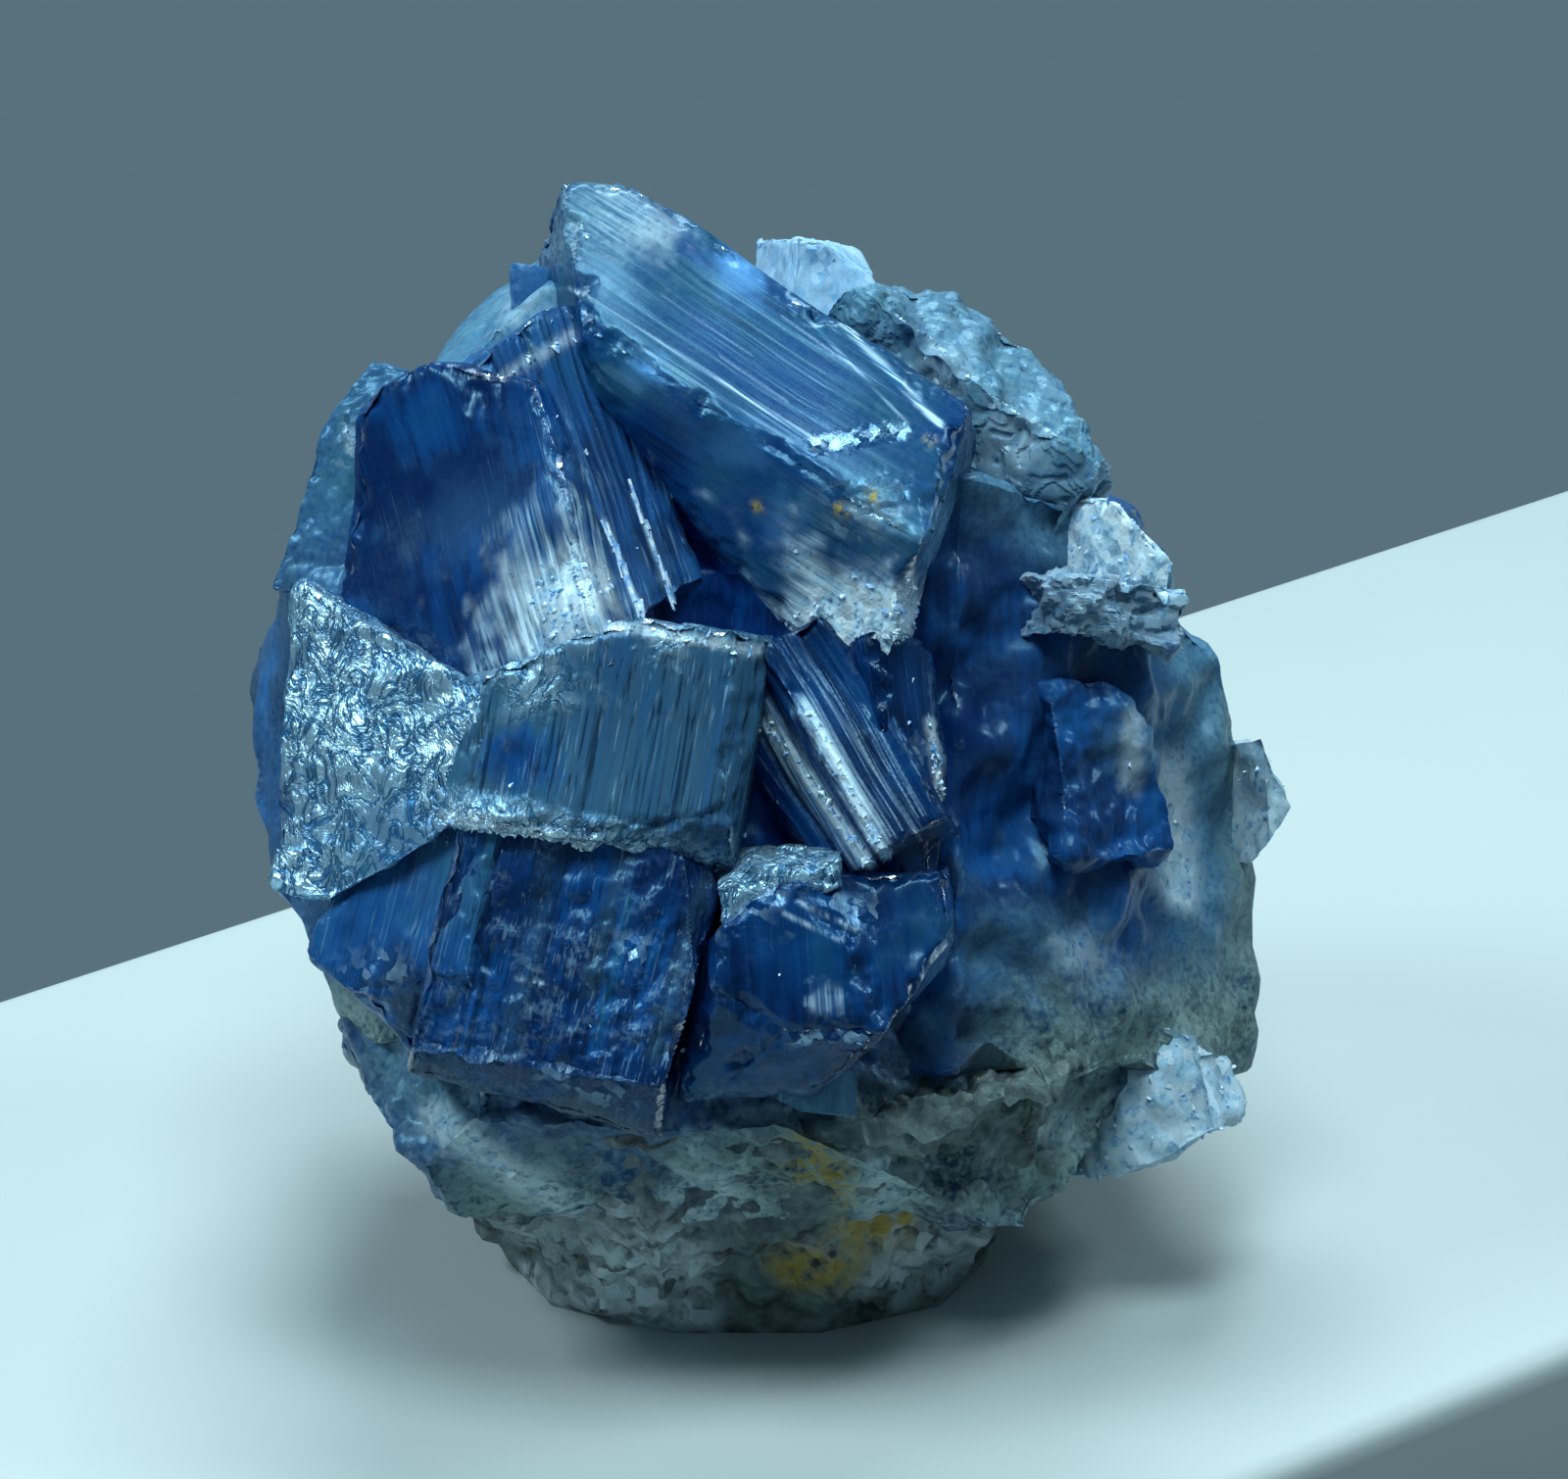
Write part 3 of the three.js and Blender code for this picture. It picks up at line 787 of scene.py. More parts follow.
grow_solid(
    "rock", leaning(oval_ring(**MATRIX_FOOT) + oval_ring(**MATRIX_TOP, grown=SEAT_FILL)),
    axis=np.array((0.0, 1.0, 0.0)), middle=(-0.1, 2.4), half=(4.5, 3.0), edge=0.075,
    finishes=(
        above_table(grain_finish(0.38, 0.55, 401)), above_table(grain_finish(0.15, 0.20, 402)),
        above_table(swell(0.3, 1.6, 403)),
    ),
    look={"teal": 0.45, "deep": 0.3},
    marks=(
        ("frost", (-0.45, -0.95), 1.4, 0.9), ("frost", (0.5, -0.75), 1.1, 0.6),
        ("frost", (-0.8, -0.6), 0.8, 0.5),
        ("ochre", (0.1, -0.85), (0.25, -0.85), 0.45, 1.0), ("ochre", (0.35, -0.65), (0.45, -0.6), 0.55, 1.0),
        # on the rock, deep is painted blue light from the beryl
        ("deep", (-0.2, -0.3), 1.4, 1.0),
    ),
)


# -------------------------------------------------------- from crystals to closed pieces

PIECES = {
    "crown": ["crown"],
    "left_crystals": ["comb", "left_window", "left_rim", "foil"],
    "front_crystals": ["front_slab", "front_prism", "front_left_prism"],
    "middle_crystals": ["banded", "dark_prism", "chip", "cobalt_lobe", "flake"],
    "beryl_mass": [
        "left_flank", "right_flank", "upper_body", "lower_body", "heart", "sky_block", "teal_ridge",
        "left_shoulder", "pale_block", "stepped_ridge", "right_step", "right_knob", "foot_lobe", *BACK_PRISMS,
    ],
}

BEND = 0.13  # mm: every flat face and straight edge strays this much, neighbours together
BEND_SIZE = 3.2
FIRM_HEIGHT = 1.5  # mm above the underside: the sway fades out below this


def bent(verts):
    """The points after a slow, shared sway that leaves the underside flat."""
    sway = np.stack([fractal(verts, BEND_SIZE, 2, 900 + k) for k in range(3)], axis=1)
    return verts + BEND * sway * smooth(0.0, FIRM_HEIGHT, upright(verts)[:, 2])[:, None]


BURIED = 0.40  # mm inside a neighbour: from here on a surface stays coarse, as it is never seen
BURIED_EDGE = 0.9
BACK_STARTS = 5.5  # mm out: behind this, edges grow longer
BACK_DEPTH = 6
COARSER_PER_MM = 0.35


def wanted_edge(name):
    """How long a triangle's sides may be by place: longer at the back, and where neighbours bury them."""
    own_edge = CRYSTALS[name]["edge"]

    def edge(points):
        behind = np.clip(BACK_STARTS - points[:, 2], 0, BACK_DEPTH)
        length = own_edge * (1 + COARSER_PER_MM * behind)
        for other, crystal in CRYSTALS.items():
            normals, offsets = crystal["planes"]
            if other != name:
                length[(offsets - points @ normals.T > BURIED).all(axis=1)] = BURIED_EDGE
        return length

    return edge


def crystal_mesh(name):
    """A convex solid as a dense closed mesh, each of its flat faces with the crystal's finishes."""
    crystal = CRYSTALS[name]
    axis = crystal["axis"]
    normals, offsets = crystal["planes"]
    verts, tris, sides = refine(
        *crystal["hull"], crystal["edge"], wanted_edge(name), axis, crystal["stretch"]
    )
    key = np.unique(np.stack([tris.ravel(), np.repeat(sides, 3)], axis=1), axis=0)
    move = np.zeros_like(verts)
    shares = np.zeros(len(verts))
    for side in range(len(normals)):
        who = key[key[:, 1] == side, 0]
        points = verts[who]
        face = (normals[side], axis, rim_distance(points, side, normals, offsets))
        offset = np.zeros(len(who))
        for rough in crystal["finishes"]:
            offset += rough(points, face)
        move[who] += offset[:, None] * normals[side]
        shares[who] += 1
    return bent(verts + move / shares[:, None]), tris


def linked(name, data):
    """A new object of the scene that shows the data."""
    thing = bpy.data.objects.new(name, data)
    bpy.context.scene.collection.objects.link(thing)
    return thing


def mesh_object(name, verts, tris, number=0):
    """A mesh whose faces all carry the number of the crystal that they belong to."""
    mesh = bpy.data.meshes.new(name)
    mesh.vertices.add(len(verts))
    mesh.vertices.foreach_set("co", verts.ravel())
    mesh.loops.add(3 * len(tris))
    mesh.loops.foreach_set("vertex_index", tris.ravel().astype(np.int32))
    mesh.polygons.add(len(tris))
    mesh.polygons.foreach_set("loop_start", np.arange(len(tris), dtype=np.int32) * 3)
    mesh.update(calc_edges=True)
    tag = mesh.attributes.new("crystal", "INT", "FACE")
    tag.data.foreach_set("value", np.full(len(tris), number, dtype=np.int32))
    return linked(name, mesh)


def joined(name, members):
    """The named crystals as one closed mesh."""
    things = [mesh_object(m, *crystal_mesh(m), CRYSTALS[m]["number"]) for m in members]
    if len(things) == 1:
        things[0].name = name
        return things[0]
    cutters = bpy.data.collections.new(name + "_members")
    for thing in things[1:]:
        cutters.objects.link(thing)
    join = things[0].modifiers.new("join", "BOOLEAN")
    join.operation = "UNION"
    join.solver = "MANIFOLD"
    join.operand_type = "COLLECTION"
    join.collection = cutters
    depsgraph = bpy.context.evaluated_depsgraph_get()
    mesh = bpy.data.meshes.new_from_object(things[0].evaluated_get(depsgraph))
    for thing in things:
        bpy.data.objects.remove(thing)
    bpy.data.collections.remove(cutters)
    mesh.name = name
    return linked(name, mesh)


# ------------------------------------------------------------------------- painting
# deep is saturated dark blue, silver is air-filled cleavage with its inner reflection painted in
# as a pale silvery colour, frost is crushed white grains, teal is grey-green, milk is pale cloudy
# blue, ochre is iron stain, streak is contrast along the grain (dark slits that are partly painted
# shade in the grooves, and painted glint lines), spark is a glittering break with painted glints,
# edge is a painted highlight along each rim, foil is a creased silvery fracture with painted shade
# in its creases, rock is matrix grown over beryl, smoke is grey haze.

PAINTS = (
    "deep", "silver", "frost", "teal", "milk", "ochre", "streak", "spark", "edge", "foil", "rock", "smoke",
)
LAYERS = ("paint_a", "paint_b", "paint_c", "paint_d")  # corner colours, each of which holds three paints
# The edge paint is a painted highlight along each rim.
RIM_GLINT = (0.10, 0.01)  # mm from a rim: where its light line starts, and where it is full
MARK_EDGE = (1.35, 0.2)  # of a mark's radius: where it starts, and where it is full
SPOT_RAGGED = 0.5
STREAK_RAGGED = 0.2


def mark_distance(points, crystal, places):
    """Millimetres from each point, as seen from the front, to a mark's place or streak."""
    c, s = math.cos(crystal["turn"]), math.sin(crystal["turn"])
    ends = []
    for across_part, along_part in places:
        x, y = across_part * crystal["half"][0], along_part * crystal["half"][1]
        ends.append(crystal["middle"] + (c * x - s * y, s * x + c * y))
    start, run = ends[0], ends[-1] - ends[0]
    reach = np.clip((points[:, :2] - start) @ run / max(run @ run, 1e-9), 0, 1)
    return np.linalg.norm(points[:, :2] - start - reach[:, None] * run, axis=1)


def painted(points, crystal):
    """Each paint's strength at the points of one crystal, as a dictionary of arrays."""
    seed = 1000 + 10 * crystal["number"]
    layers = {paint: np.full(len(points), float(crystal["look"].get(paint, 0))) for paint in PAINTS}
    for order, (paint, *places, radius, strength) in enumerate(crystal["marks"]):
        away = mark_distance(points, crystal, places) / radius
        ragged = fractal(points, max(0.6 * radius, 0.12), 3, seed + order)
        away = away * (1 + (SPOT_RAGGED if len(places) == 1 else STREAK_RAGGED) * ragged)
        near = smooth(*MARK_EDGE, away)
        layers[paint] = layers[paint] * (1 - near) + near * strength
    normals, offsets = crystal["planes"]
    gaps = np.sort(np.abs(offsets - points @ normals.T), axis=1)
    broken = smooth(-0.3, 0.5, fractal(points, 0.7, 2, seed + 90))
    # painted highlight along the rims, broken here and there
    layers["edge"] = smooth(*RIM_GLINT, gaps[:, 1]) * broken
    return layers


def read(items, field, kind=float, width=1):
    """One field of every item of a mesh, as an array of rows."""
    values = np.empty(len(items) * width, dtype=kind)
    items.foreach_get(field, values)
    return values.reshape(-1, width) if width > 1 else values


def along_grain(points, axis):
    """The points' place across, along and out of a crystal's grain."""
    side = np.cross(axis, (0.0, 0.0, 1.0))
    side /= np.linalg.norm(side)
    return np.stack([points @ side, points @ axis, points @ np.cross(side, axis)], axis=1)


def paint(piece):
    """Gives a piece's face corners the colours that hold the paints, and the place along the grain of
    the crystal they belong to. Returns the vertices, and for each triangle corner its vertex and levels."""
    mesh = piece.data
    place = read(mesh.vertices, "co", width=3)
    corner_vertex = read(mesh.loops, "vertex_index", np.int32)
    face_crystal = read(mesh.attributes["crystal"].data, "value", np.int32)
    corner_crystal = np.repeat(face_crystal, read(mesh.polygons, "loop_total", np.int32))
    levels = np.zeros((len(corner_vertex), len(PAINTS)))
    grain = np.zeros((len(corner_vertex), 3))
    for crystal in CRYSTALS.values():
        rows = np.flatnonzero(corner_crystal == crystal["number"])
        if not len(rows):
            continue
        used, back = np.unique(corner_vertex[rows], return_inverse=True)
        layers = painted(place[used], crystal)
        levels[rows] = np.stack([layers[p] for p in PAINTS], axis=1)[back]
        grain[rows] = along_grain(place[used], crystal["axis"])[back]
    for first, label in enumerate(LAYERS):
        colours = np.ones((len(levels), 4))
        colours[:, :3] = levels[:, 3 * first:3 * first + 3]
        layer = mesh.attributes.new(label, "FLOAT_COLOR", "CORNER")
        layer.data.foreach_set("color", colours.ravel())
    mesh.attributes.new("grain", "FLOAT_VECTOR", "CORNER").data.foreach_set("vector", grain.ravel())
    mesh.attributes.remove(mesh.attributes["crystal"])
    mesh.calc_loop_triangles()
    corners = read(mesh.loop_triangles, "loops", np.int32, 3).ravel()
    return place, corner_vertex[corners], levels[corners]


# -------------------------------------------------------------- crumbs and splinters

SCATTER_FADE = (-2.0, 4.0)  # mm out: nothing is scattered behind the first, and all in front of the second


def scattered(place, tri_corners, weight, count, rng):
    """Places on a mesh, picked where weight, one number per triangle corner, is high, and the
    outward direction at each."""
    tris = tri_corners.reshape(-1, 3)
    a, b, c = place[tris[:, 0]], place[tris[:, 1]], place[tris[:, 2]]
    cross = np.cross(b - a, c - a)
    area = np.linalg.norm(cross, axis=1)
    chance = area * weight.reshape(-1, 3).mean(axis=1) * smooth(*SCATTER_FADE, a[:, 2])
    picked = rng.choice(len(tris), size=count, p=chance / chance.sum())
    u, v = rng.random((2, count, 1))
    fold = u + v > 1
    u, v = np.where(fold, 1 - u, u), np.where(fold, 1 - v, v)
    return a[picked] + u * (b - a)[picked] + v * (c - a)[picked], cross[picked] / area[picked][:, None]


def copies(shell_verts, shell_tris, places, frames, sizes):
    """Many copies of one small closed shell: frames holds a 3x3 turn for each, sizes its 3 scales."""
    verts = np.einsum("nij,nkj->nki", frames, shell_verts[None] * sizes[:, None]) + places[:, None]
    tris = shell_tris[None] + (np.arange(len(places)) * len(shell_verts))[:, None, None]
    return verts.reshape(-1, 3), tris.reshape(-1, 3)


def frames_along(axes, rng):
    """For each axis a right-handed 3x3 frame whose second column is that axis."""
    other = rng.normal(size=axes.shape)
    x = np.cross(axes, other)
    x /= np.linalg.norm(x, axis=1)[:, None]
    return np.stack([x, axes, np.cross(x, axes)], axis=2)


def unit(vectors):
    return vectors / np.linalg.norm(vectors, axis=1)[:, None]


CRUMBS_PER_PIECE = 320
BLADES = 60
CRUMB_SIZE = (0.015, 0.07)  # mm, half across
BLADE_LENGTH = (0.15, 0.50)
BLADE_THICK = 0.03
BLADE_RING = ((1, 0), (0, 1), (-1, 0), (0, -1))
CRUMB_CORNERS = 8
STRAY_CRUMBS = 0.0006  # the weight of any place, so that a few crumbs lie where nothing is crushed


def crumbs_on(surface, rng):
    """Angular grains of crushed beryl."""
    place, tri_corners, levels = surface
    frost, spark = (levels[:, PAINTS.index(paint_name)] for paint_name in ("frost", "spark"))
    weight = np.clip(frost + 0.25 * spark - 0.3, 0, 1) + STRAY_CRUMBS
    points, normals = scattered(place, tri_corners, weight, CRUMBS_PER_PIECE, rng)
    shell = hull(unit(rng.normal(size=(CRUMB_CORNERS, 3))))[:2]
    sizes = rng.uniform(*CRUMB_SIZE, (len(points), 1)) * rng.uniform(0.5, 1.5, (len(points), 3))
    return copies(*shell, points, frames_along(unit(rng.normal(size=normals.shape)), rng), sizes)


def blades_on(surface, axis, rng):
    """Thin four-sided shards that stand off cleavages, mostly along the grain."""
    place, tri_corners, levels = surface
    weight = np.clip(levels[:, PAINTS.index("silver")] * levels[:, PAINTS.index("streak")] - 0.6, 0, 1)
    points, normals = scattered(place, tri_corners, weight, BLADES, rng)
    shell = hull(np.array([(x, y, z) for x, z in BLADE_RING for y in (-1, 0.8)]))[:2]
    axes = unit(axis * rng.choice((-1, 1), (len(points), 1)) + 0.06 * rng.normal(size=normals.shape))
    thick = BLADE_THICK * rng.uniform(0.6, 1.6, len(points))
    sizes = np.stack([thick, rng.uniform(*BLADE_LENGTH, len(points)) / 2, 0.5 * thick], axis=1)
    return copies(*shell, points, frames_along(axes, rng), sizes)


def in_one(parts):
    """Several (verts, tris) as one."""
    verts, tris, first = [], [], 0
    for v, t in parts:
        verts.append(v)
        tris.append(t + first)
        first += len(v)
    return np.concatenate(verts), np.concatenate(tris)


# ------------------------------------------------------------------------ materials


class Nodes:
    """Short ways to add and join shader nodes."""

    def __init__(self, name):
        self.material = bpy.data.materials.new(name)
        self.material.use_nodes = True
        self.tree = self.material.node_tree
        self.tree.nodes.clear()

    def add(self, kind, inputs=None, **settings):
        node = self.tree.nodes.new(kind)
        for key, value in settings.items():
            setattr(node, key, value)
        for key, value in (inputs or {}).items():
            self.join(value, node.inputs[key])
        return node

    def join(self, value, socket):
        if isinstance(value, bpy.types.NodeSocket):
            self.tree.links.new(value, socket)
        elif isinstance(value, bpy.types.Node):
            self.tree.links.new(value.outputs[0], socket)
        elif socket.type == "RGBA" and len(value) == 3:
            socket.default_value = (*value, 1)
        else:
            socket.default_value = value

    def math(self, operation, a, b=0.5, clamp=False):
        return self.add("ShaderNodeMath", {0: a, 1: b}, operation=operation, use_clamp=clamp).outputs[0]

    def times(self, a, b, clamp=False):
        return self.math("MULTIPLY", a, b, clamp)

    def plus(self, a, b, clamp=False):
        return self.math("ADD", a, b, clamp)

    def most(self, first, *others):
        for other in others:
            first = self.math("MAXIMUM", first, other)
        return first

    def mix(self, amount, a, b):
        node = self.add("ShaderNodeMix", data_type="RGBA")
        self.join(amount, node.inputs[0])
        self.join(a, node.inputs[6])
        self.join(b, node.inputs[7])
        return node.outputs[2]

    def blend(self, amount, a, b):
        node = self.add("ShaderNodeMix", data_type="FLOAT")
        self.join(amount, node.inputs[0])
        self.join(a, node.inputs[2])
        self.join(b, node.inputs[3])
        return node.outputs[0]

    def ramp(self, value, *stops):
        node = self.add("ShaderNodeValToRGB", {0: value})
        ramp = node.color_ramp
        while len(ramp.elements) < len(stops):
            ramp.elements.new(0.5)
        for element, (at, colour) in zip(ramp.elements, stops):
            element.position = at
            element.color = (*colour, 1)
        return node.outputs[0]

    def range(self, value, low, high, to_low=0.0, to_high=1.0):
        inputs = {0: value, 1: low, 2: high, 3: to_low, 4: to_high}
        return self.add("ShaderNodeMapRange", inputs, clamp=True).outputs[0]

    def vector(self, operation, a, b):
        return self.add("ShaderNodeVectorMath", {0: a, 1: b}, operation=operation)

    def scaled(self, place, scale):
        return self.vector("MULTIPLY", place, scale).outputs[0]

    def noise(self, place, scale, detail=3.0, rough=0.55, warp=0.0):
        inputs = {"Vector": place, "Scale": scale, "Detail": detail, "Roughness": rough, "Distortion": warp}
        return self.add("ShaderNodeTexNoise", inputs).outputs[0]

    def bump(self, strength, distance, height):
        return self.add("ShaderNodeBump", {"Strength": strength, "Distance": distance, "Height": height})

    def finished(self, inputs, volume=None):
        """The material, once its one shader and its volume, if any, are joined to its output."""
        outputs = {"Surface": self.add("ShaderNodeBsdfPrincipled", inputs)}
        if volume:
            outputs["Volume"] = volume
        self.add("ShaderNodeOutputMaterial", outputs)
        return self.material

    def plates(self, place, scale):
        """The height of small flat plates, each tilted its own way, in the place's unit, and a
        random number for each plate."""
        cell = self.add("ShaderNodeTexVoronoi", {"Vector": place, "Scale": scale})
        from_middle = self.vector("SUBTRACT", place, cell.outputs["Position"])
        tilt = self.vector("SUBTRACT", cell.outputs["Color"], (0.5, 0.5, 0.5))
        height = self.vector("DOT_PRODUCT", from_middle, tilt).outputs["Value"]
        return height, self.add("ShaderNodeSeparateColor", {0: cell.outputs["Color"]}).outputs[0]


NAVY = (0.0003, 0.020, 0.115)
COBALT = (0.002, 0.075, 0.30)
STEEL = (0.016, 0.13, 0.28)
PALE = (0.22, 0.50, 0.72)
# dark slits along the grain, partly painted shade in the grooves
SLIT_SHADE = (0.0008, 0.006, 0.022)
GLINT = (0.42, 0.64, 0.78)
# SILVER: the painted reflection of air-filled cleavage
SILVER = (0.50, 0.70, 0.80)
FROST = (0.78, 0.93, 0.97)
MIST = (0.46, 0.70, 0.85)
TEAL = (0.085, 0.20, 0.28)
MILK = (0.13, 0.38, 0.76)
OCHRE = (0.30, 0.22, 0.03)
SHEEN_BLUE = (0.35, 0.75, 1.0, 1.0)  # what the blue faces mirror
LEAF = (0.36, 0.57, 0.72)
SMOKE = (0.045, 0.12, 0.19)
ROCK_GREY = (0.20, 0.29, 0.27)
ROCK_DARK = (0.008, 0.020, 0.026)
ROCK_SHADE = (0.012, 0.035, 0.07)  # rock that blue light from the beryl falls on

BERYL_IOR = 1.577
BERYL_SPECULAR = 0.18
DEPTH_TINT = (0.12, 0.5, 0.9, 1)  # what light keeps of its colour on its way through
DEPTH_DENSITY = 450.0  # per metre

# how much of the light that reaches unpainted beryl goes through
CLEARNESS = {
    "crown": 0.62, "left_crystals": 0.5, "front_crystals": 0.3, "middle_crystals": 0.55, "beryl_mass": 0.15,
}


def painted_inputs(n):
    """The paints by name, and the place along each crystal's grain, in millimetres."""
    sockets = []
    for label in LAYERS:
        layer = n.add("ShaderNodeAttribute", attribute_name=label).outputs["Color"]
        sockets += n.add("ShaderNodeSeparateColor", {0: layer}).outputs
    return dict(zip(PAINTS, sockets)), n.add("ShaderNodeAttribute", attribute_name="grain").outputs["Vector"]


# name: how the place along the grain is stretched, then scale, detail, roughness and warp of a noise
BERYL_NOISES = {
    "cloud": ((1, 1, 1), 0.7, 1.5, 0.5, 0.6),
    "lines": ((6.0, 0.08, 6.0), 1.0, 2, 0.6),
    "fine_lines": ((15.0, 0.2, 15.0), 1.0, 2, 0.6),
    "hairs": ((26.0, 0.35, 26.0), 1.0, 1, 0.6),
    "breaks": ((2.5, 0.9, 2.5), 1.0, 1, 0.6),
    "specks": ((1, 1, 1), 9.0, 3, 0.6),
    "wrinkle": ((1.0, 0.7, 1.0), 2.4, 4, 0.6, 0.9),
}
CREASE_WIDTH = 0.06  # how far from its middle value the wrinkle noise still counts as a crease
PLATES_PER_MM = 6.0


def beryl_textures(n, grain):
    """The noises above, the creases between the wrinkles, and the small plates of a break, by name."""
    t = {}
    for name, (stretch, *settings) in BERYL_NOISES.items():
        t[name] = n.noise(n.scaled(grain, stretch), *settings)
    from_crease = n.math("ABSOLUTE", n.math("SUBTRACT", t["wrinkle"], 0.5))
    t["crease"] = n.range(from_crease, 0.0, CREASE_WIDTH)
    t["tilt"], t["shade"] = n.plates(grain, PLATES_PER_MM)
    t["grains"] = n.plus(t["specks"], n.times(t["shade"], 0.15))
    return t


def clear_blue(n, p, t):
    """Clear beryl: its zones, from pale to navy, then dark slits along the grain that are partly painted
    shade in the striae's grooves, and painted glint lines.
    """
    zone = n.plus(p["deep"], n.range(t["cloud"], 0.3, 0.7, -0.22, 0.22))
    zone = n.plus(zone, n.range(t["lines"], 0.35, 0.65, -0.10, 0.10), clamp=True)
    colour = n.ramp(zone, (0.0, PALE), (0.35, STEEL), (0.7, COBALT), (1.0, NAVY))
    colour = n.mix(n.times(p["smoke"], n.range(t["lines"], 0.35, 0.6, 0.6, 1.0)), colour, SMOKE)
    # dark slits where fine_lines, and with it the bump's striae, runs low: partly painted shade in the
    # grooves
    slit_shade = n.times(p["streak"], n.range(t["fine_lines"], 0.45, 0.38))
    colour = n.mix(n.times(slit_shade, n.range(t["breaks"], 0.4, 0.55, 0.25, 0.85)), colour, SLIT_SHADE)
    # painted glints: thin light lines along the grain
    glint_line = n.times(p["streak"], n.range(t["hairs"], 0.60, 0.70, 0.0, 0.45))
    glint_line = n.times(glint_line, n.range(t["breaks"], 0.58, 0.44))
    return n.mix(glint_line, colour, GLINT)


def coatings_and_painted_light(n, p, t):
    """How much of each coating and each painted light shows, by name."""
    return {
        "cloudy": n.times(p["milk"], n.range(t["cloud"], 0.3, 0.6, 0.5, 1.0)),
        "mossy": n.times(p["teal"], n.range(t["specks"], 0.35, 0.6, 0.55, 1.0)),
        "film": n.times(p["silver"], n.range(t["lines"], 0.38, 0.56, 0.25, 1.0), clamp=True),
        # less leaf in the creases, where painted shade goes
        "leaf": n.times(p["foil"], n.range(t["crease"], 0.0, 0.6, 0.6, 1.0)),
        "glitter": n.times(p["spark"], n.range(t["shade"], 0.55, 0.8)),
        "rocky": n.times(p["rock"], n.range(t["grains"], 0.35, 0.5, 0.6, 1.0)),
        "crushed": n.times(p["frost"], n.range(t["grains"], 0.28, 0.50)),
        "stain": n.times(p["ochre"], n.range(t["specks"], 0.42, 0.52), clamp=True),
        # rim: painted highlights along the rims
        "rim": n.times(p["edge"], n.range(t["specks"], 0.45, 0.65, 0.0, 0.25)),
    }


def coated_with_painted_light(n, t, c, colour):
    """The colour under each coating and each painted light, the lowest first."""
    silvery = n.mix(n.range(t["fine_lines"], 0.38, 0.54), STEEL, SILVER)
    rock = n.mix(n.range(n.blend(0.5, t["grains"], t["cloud"]), 0.38, 0.60), ROCK_DARK, ROCK_GREY)
    frosted = n.mix(n.range(n.blend(0.6, t["specks"], t["shade"]), 0.25, 0.6), MIST, FROST)
    colour = n.mix(c["cloudy"], colour, MILK)
    colour = n.mix(c["mossy"], colour, TEAL)
    # the silver film: air-filled cleavage, with its inner reflection painted in as a pale silvery colour
    colour = n.mix(c["film"], colour, silvery)
    # foil: the leaf colour, with painted shade in its creases in steel blue
    colour = n.mix(c["leaf"], colour, n.mix(t["crease"], STEEL, LEAF))
    # painted glints: single plates of a glittering break in the light leaf colour
    colour = n.mix(n.times(c["glitter"], 0.8), colour, LEAF)
    colour = n.mix(c["rocky"], colour, rock)
    colour = n.mix(c["crushed"], colour, frosted)
    colour = n.mix(c["stain"], colour, OCHRE)
    # painted rim highlights in the glint colour
    return n.mix(c["rim"], colour, GLINT)


def beryl_relief(n, p, t):
    """The height, in millimetres, of striae, creases, broken plates and grains."""
    height = n.times(t["fine_lines"], n.times(p["streak"], 0.018))
    creases = n.plus(n.times(t["wrinkle"], 0.18), n.times(t["crease"], 0.03))
    height = n.plus(height, n.times(creases, p["foil"]))
    broken = n.most(p["spark"], n.times(n.most(p["frost"], p["rock"]), 0.7))
    height = n.plus(height, n.times(t["tilt"], n.times(broken, 0.8)))
    return n.plus(height, n.times(t["specks"], n.times(broken, 0.03)))


def beryl_material(name, clear):
    """Blue beryl that lets light through where nothing coats it."""
    n = Nodes(name)
    p, grain = painted_inputs(n)
    t = beryl_textures(n, grain)
    c = coatings_and_painted_light(n, p, t)
    metal = n.most(n.times(c["glitter"], 0.7), n.times(c["leaf"], 0.85))
    crust = n.most(c["crushed"], c["stain"], c["rocky"])
    solid = n.most(c["film"], crust, metal, n.times(n.most(c["cloudy"], c["mossy"]), 0.7))
    rough = n.blend(crust, n.range(t["specks"], 0.3, 0.7, 0.22, 0.34), 0.6)
    inputs = {
        "Base Color": coated_with_painted_light(n, t, c, clear_blue(n, p, t)),
        "Metallic": metal,
        "Roughness": n.blend(metal, rough, 0.34),
        "IOR": BERYL_IOR,
        "Specular IOR Level": BERYL_SPECULAR,
        "Specular Tint": SHEEN_BLUE,
        "Transmission Weight": n.times(n.math("SUBTRACT", 1.0, solid, clamp=True), clear),
        "Normal": n.bump(1.0, MM, beryl_relief(n, p, t)),
    }
    depth = n.add("ShaderNodeVolumeAbsorption", {"Color": DEPTH_TINT, "Density": DEPTH_DENSITY})
    return n.finished(inputs, depth)


def debris_material(name, light, dark):
    """Crushed beryl: small opaque grains whose shade changes from one to the next."""
    n = Nodes(name)
    place = n.scaled(n.add("ShaderNodeTexCoord").outputs["Object"], (1 / MM,) * 3)
    fine = n.noise(place, 30.0, 2)
    return n.finished({
        "Base Color": n.mix(n.range(n.noise(place, 6.0, 2), 0.35, 0.65), dark, light),
        "Roughness": n.range(fine, 0.3, 0.7, 0.1, 0.3),
        "IOR": BERYL_IOR,
        "Normal": n.bump(0.5, 0.02 * MM, fine),
    })


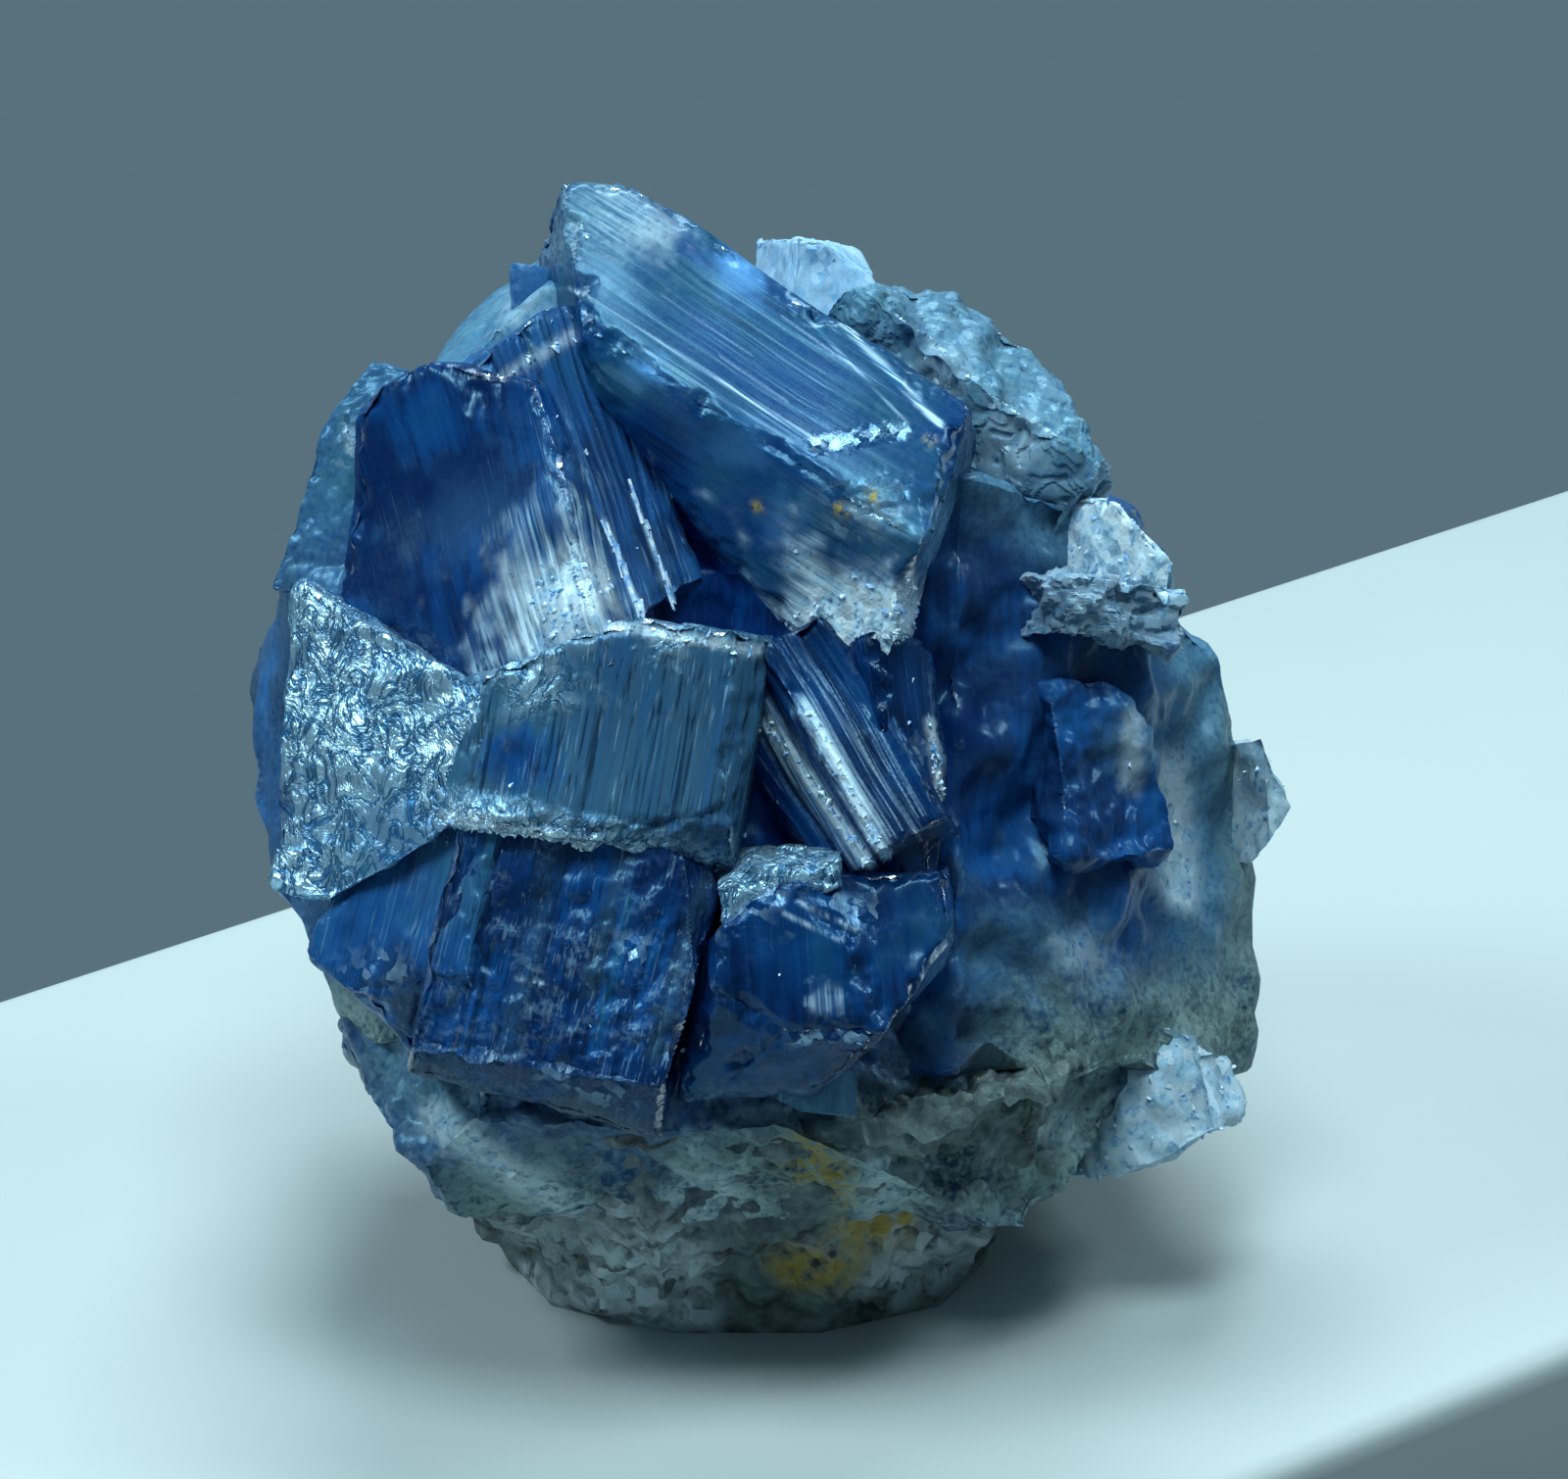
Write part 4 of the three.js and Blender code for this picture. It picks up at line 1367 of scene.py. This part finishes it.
def rock_material(name):
    """Granular rock: dark and grey grains, whitish ones, painted blue light from the beryl, and yellow
    stains.
    """
    n = Nodes(name)
    p, grain = painted_inputs(n)
    patches = n.noise(grain, 0.9, 4, 0.6)
    specks = n.noise(grain, 3.0, 4, 0.6)
    tilt, shade = n.plates(grain, 4.5)
    colour = n.mix(n.range(n.blend(0.6, specks, patches), 0.38, 0.62), ROCK_DARK, ROCK_GREY)
    whitish = n.times(p["frost"], n.range(n.plus(specks, n.times(shade, 0.25)), 0.40, 0.62))
    colour = n.mix(whitish, colour, n.mix(shade, tuple(0.55 * c for c in FROST), FROST))
    # painted blue light from the beryl on the rock
    blue_light_from_beryl = n.times(p["deep"], n.range(patches, 0.35, 0.6, 0.2, 0.9))
    colour = n.mix(blue_light_from_beryl, colour, ROCK_SHADE)
    stained = n.range(n.plus(specks, n.times(patches, 0.4)), 0.55, 0.75)
    colour = n.mix(n.times(p["ochre"], stained, clamp=True), colour, OCHRE)
    height = n.plus(n.times(tilt, 0.7), n.times(specks, 0.08))
    return n.finished({
        "Base Color": colour,
        "Roughness": n.range(shade, 0.0, 1.0, 0.35, 0.75),
        "Normal": n.bump(0.8, MM, height),
    })


# ------------------------------------------------------- the pieces, put in the frame

SHARP = math.radians(38)  # an edge between faces that differ by more than this stays sharp
MATRIX_LOWEST = np.min(oval_ring(**MATRIX_TOP), axis=0)[:2]
SHIFT = np.append(np.array(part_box("matrix_foot")[0][:2]) - MATRIX_LOWEST * MM, 0.0)


def placed(piece, material, node, sharp=SHARP):
    """Moves a piece from leaning millimetres to the frame, gives it its finish and lets it ride."""
    mesh = piece.data
    place = read(mesh.vertices, "co", width=3)
    mesh.vertices.foreach_set("co", (upright(place) * MM + SHIFT).ravel())
    mesh.update()
    mesh.shade_smooth()
    mesh.set_sharp_from_angle(angle=sharp)
    mesh.materials.clear()
    mesh.materials.append(material)
    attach(piece, "root")
    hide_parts(node)


crumbs = []
rng = np.random.default_rng(7)
for piece_name, members in PIECES.items():
    piece = joined(piece_name, members)
    surface = paint(piece)
    crumbs.append(crumbs_on(surface, rng))
    if "comb" in members:
        blades = blades_on(surface, CRYSTALS["comb"]["axis"], rng)
    placed(piece, beryl_material("beryl_of_" + piece_name, CLEARNESS[piece_name]), "beryl_cluster")

matrix = joined("matrix", ["rock"])
paint(matrix)
placed(matrix, rock_material("granular_rock"), "matrix_foot")

crushed_beryl = debris_material("crushed_beryl", FROST, MILK)
placed(mesh_object("crumbs", *in_one(crumbs)), crushed_beryl, "beryl_cluster", sharp=0)
placed(mesh_object("blades", *blades), crushed_beryl, "beryl_cluster", sharp=0)


# ------------------------------------------------------------- floor, camera, lights

SLAB_THICK = 14 * MM
SLAB_SIZE = (260 * MM, 27.5 * MM)  # along its edge, and from front to back
SLAB_TURN = math.radians(41)
SLAB_MIDDLE = (7.0 * MM, 9.5 * MM)
SLAB_ROUND = 0.5 * MM
SLAB_COLOUR = (0.40, 0.45, 0.45)


def plain_material(name, colour, roughness):
    n = Nodes(name)
    cloudy = n.noise(n.add("ShaderNodeTexCoord").outputs["Object"], 40.0, 4, 0.6)
    tint = n.mix(n.range(cloudy, 0.3, 0.7), colour, tuple(0.93 * c for c in colour))
    return n.finished({"Base Color": tint, "Roughness": roughness})


bm = bmesh.new()
bmesh.ops.create_cube(bm, size=1.0)
bmesh.ops.scale(bm, vec=(*SLAB_SIZE, SLAB_THICK), verts=bm.verts)
bmesh.ops.bevel(bm, geom=bm.edges, offset=SLAB_ROUND, segments=4, affect="EDGES", profile=0.5)
slab_mesh = bpy.data.meshes.new("slab")
bm.to_mesh(slab_mesh)
bm.free()
slab = linked("slab", slab_mesh)
slab.location = (*SLAB_MIDDLE, -SLAB_THICK / 2)
slab.rotation_euler = (0, 0, SLAB_TURN)
slab_mesh.shade_smooth()
slab_mesh.set_sharp_from_angle(angle=SHARP)
slab_mesh.materials.append(plain_material("pale_slab", SLAB_COLOUR, 0.5))

VIEW_DISTANCE = 140 * MM
AIM = (0.2, 8.1, 4.0)  # leaning millimetres
LENS = 205  # mm
camera_data = bpy.data.cameras.new("camera")
camera_data.lens = LENS
camera_data.sensor_width = 36
camera_data.clip_start = 0.005
camera = linked("camera", camera_data)
bpy.context.scene.camera = camera
aim = Vector(upright([AIM])[0] * MM + SHIFT)
camera.location = aim + VIEW_DISTANCE * Vector((0, -math.cos(LEAN), math.sin(LEAN)))
camera.rotation_euler = (math.pi / 2 - LEAN, 0, 0)

COOL_WHITE = (0.76, 0.95, 1.0)
ROOM_GREY = (0.10, 0.165, 0.205, 1)
LIGHTS_AIM = 8  # mm above the table


def softbox(name, azimuth, elevation, distance, size, power):
    """A square area light that faces the cluster. Azimuth 0 is on the camera's side, 90 to its right.
    Distance and size are in millimetres, power in watts."""
    light = bpy.data.lights.new(name, "AREA")
    light.size = size * MM
    light.energy = power
    light.color = COOL_WHITE
    lamp = linked(name, light)
    a, e = math.radians(azimuth), math.radians(elevation)
    towards = Vector((math.sin(a) * math.cos(e), -math.cos(a) * math.cos(e), math.sin(e)))
    middle = Vector((0, 0, LIGHTS_AIM * MM))
    lamp.location = middle + distance * MM * towards
    lamp.rotation_euler = (-towards).to_track_quat("-Z", "Y").to_euler()


softbox("key", 180, 62, 130, 60, 0.17)
softbox("left", -70, 46, 120, 34, 0.09)
softbox("right", 97, 44, 120, 26, 0.04)
softbox("front", 0, 72, 120, 44, 0.11)

world = bpy.data.worlds.new("studio")
bpy.context.scene.world = world
world.use_nodes = True
world.node_tree.nodes["Background"].inputs["Color"].default_value = ROOM_GREY
bpy.context.scene.view_settings.view_transform = "Standard"
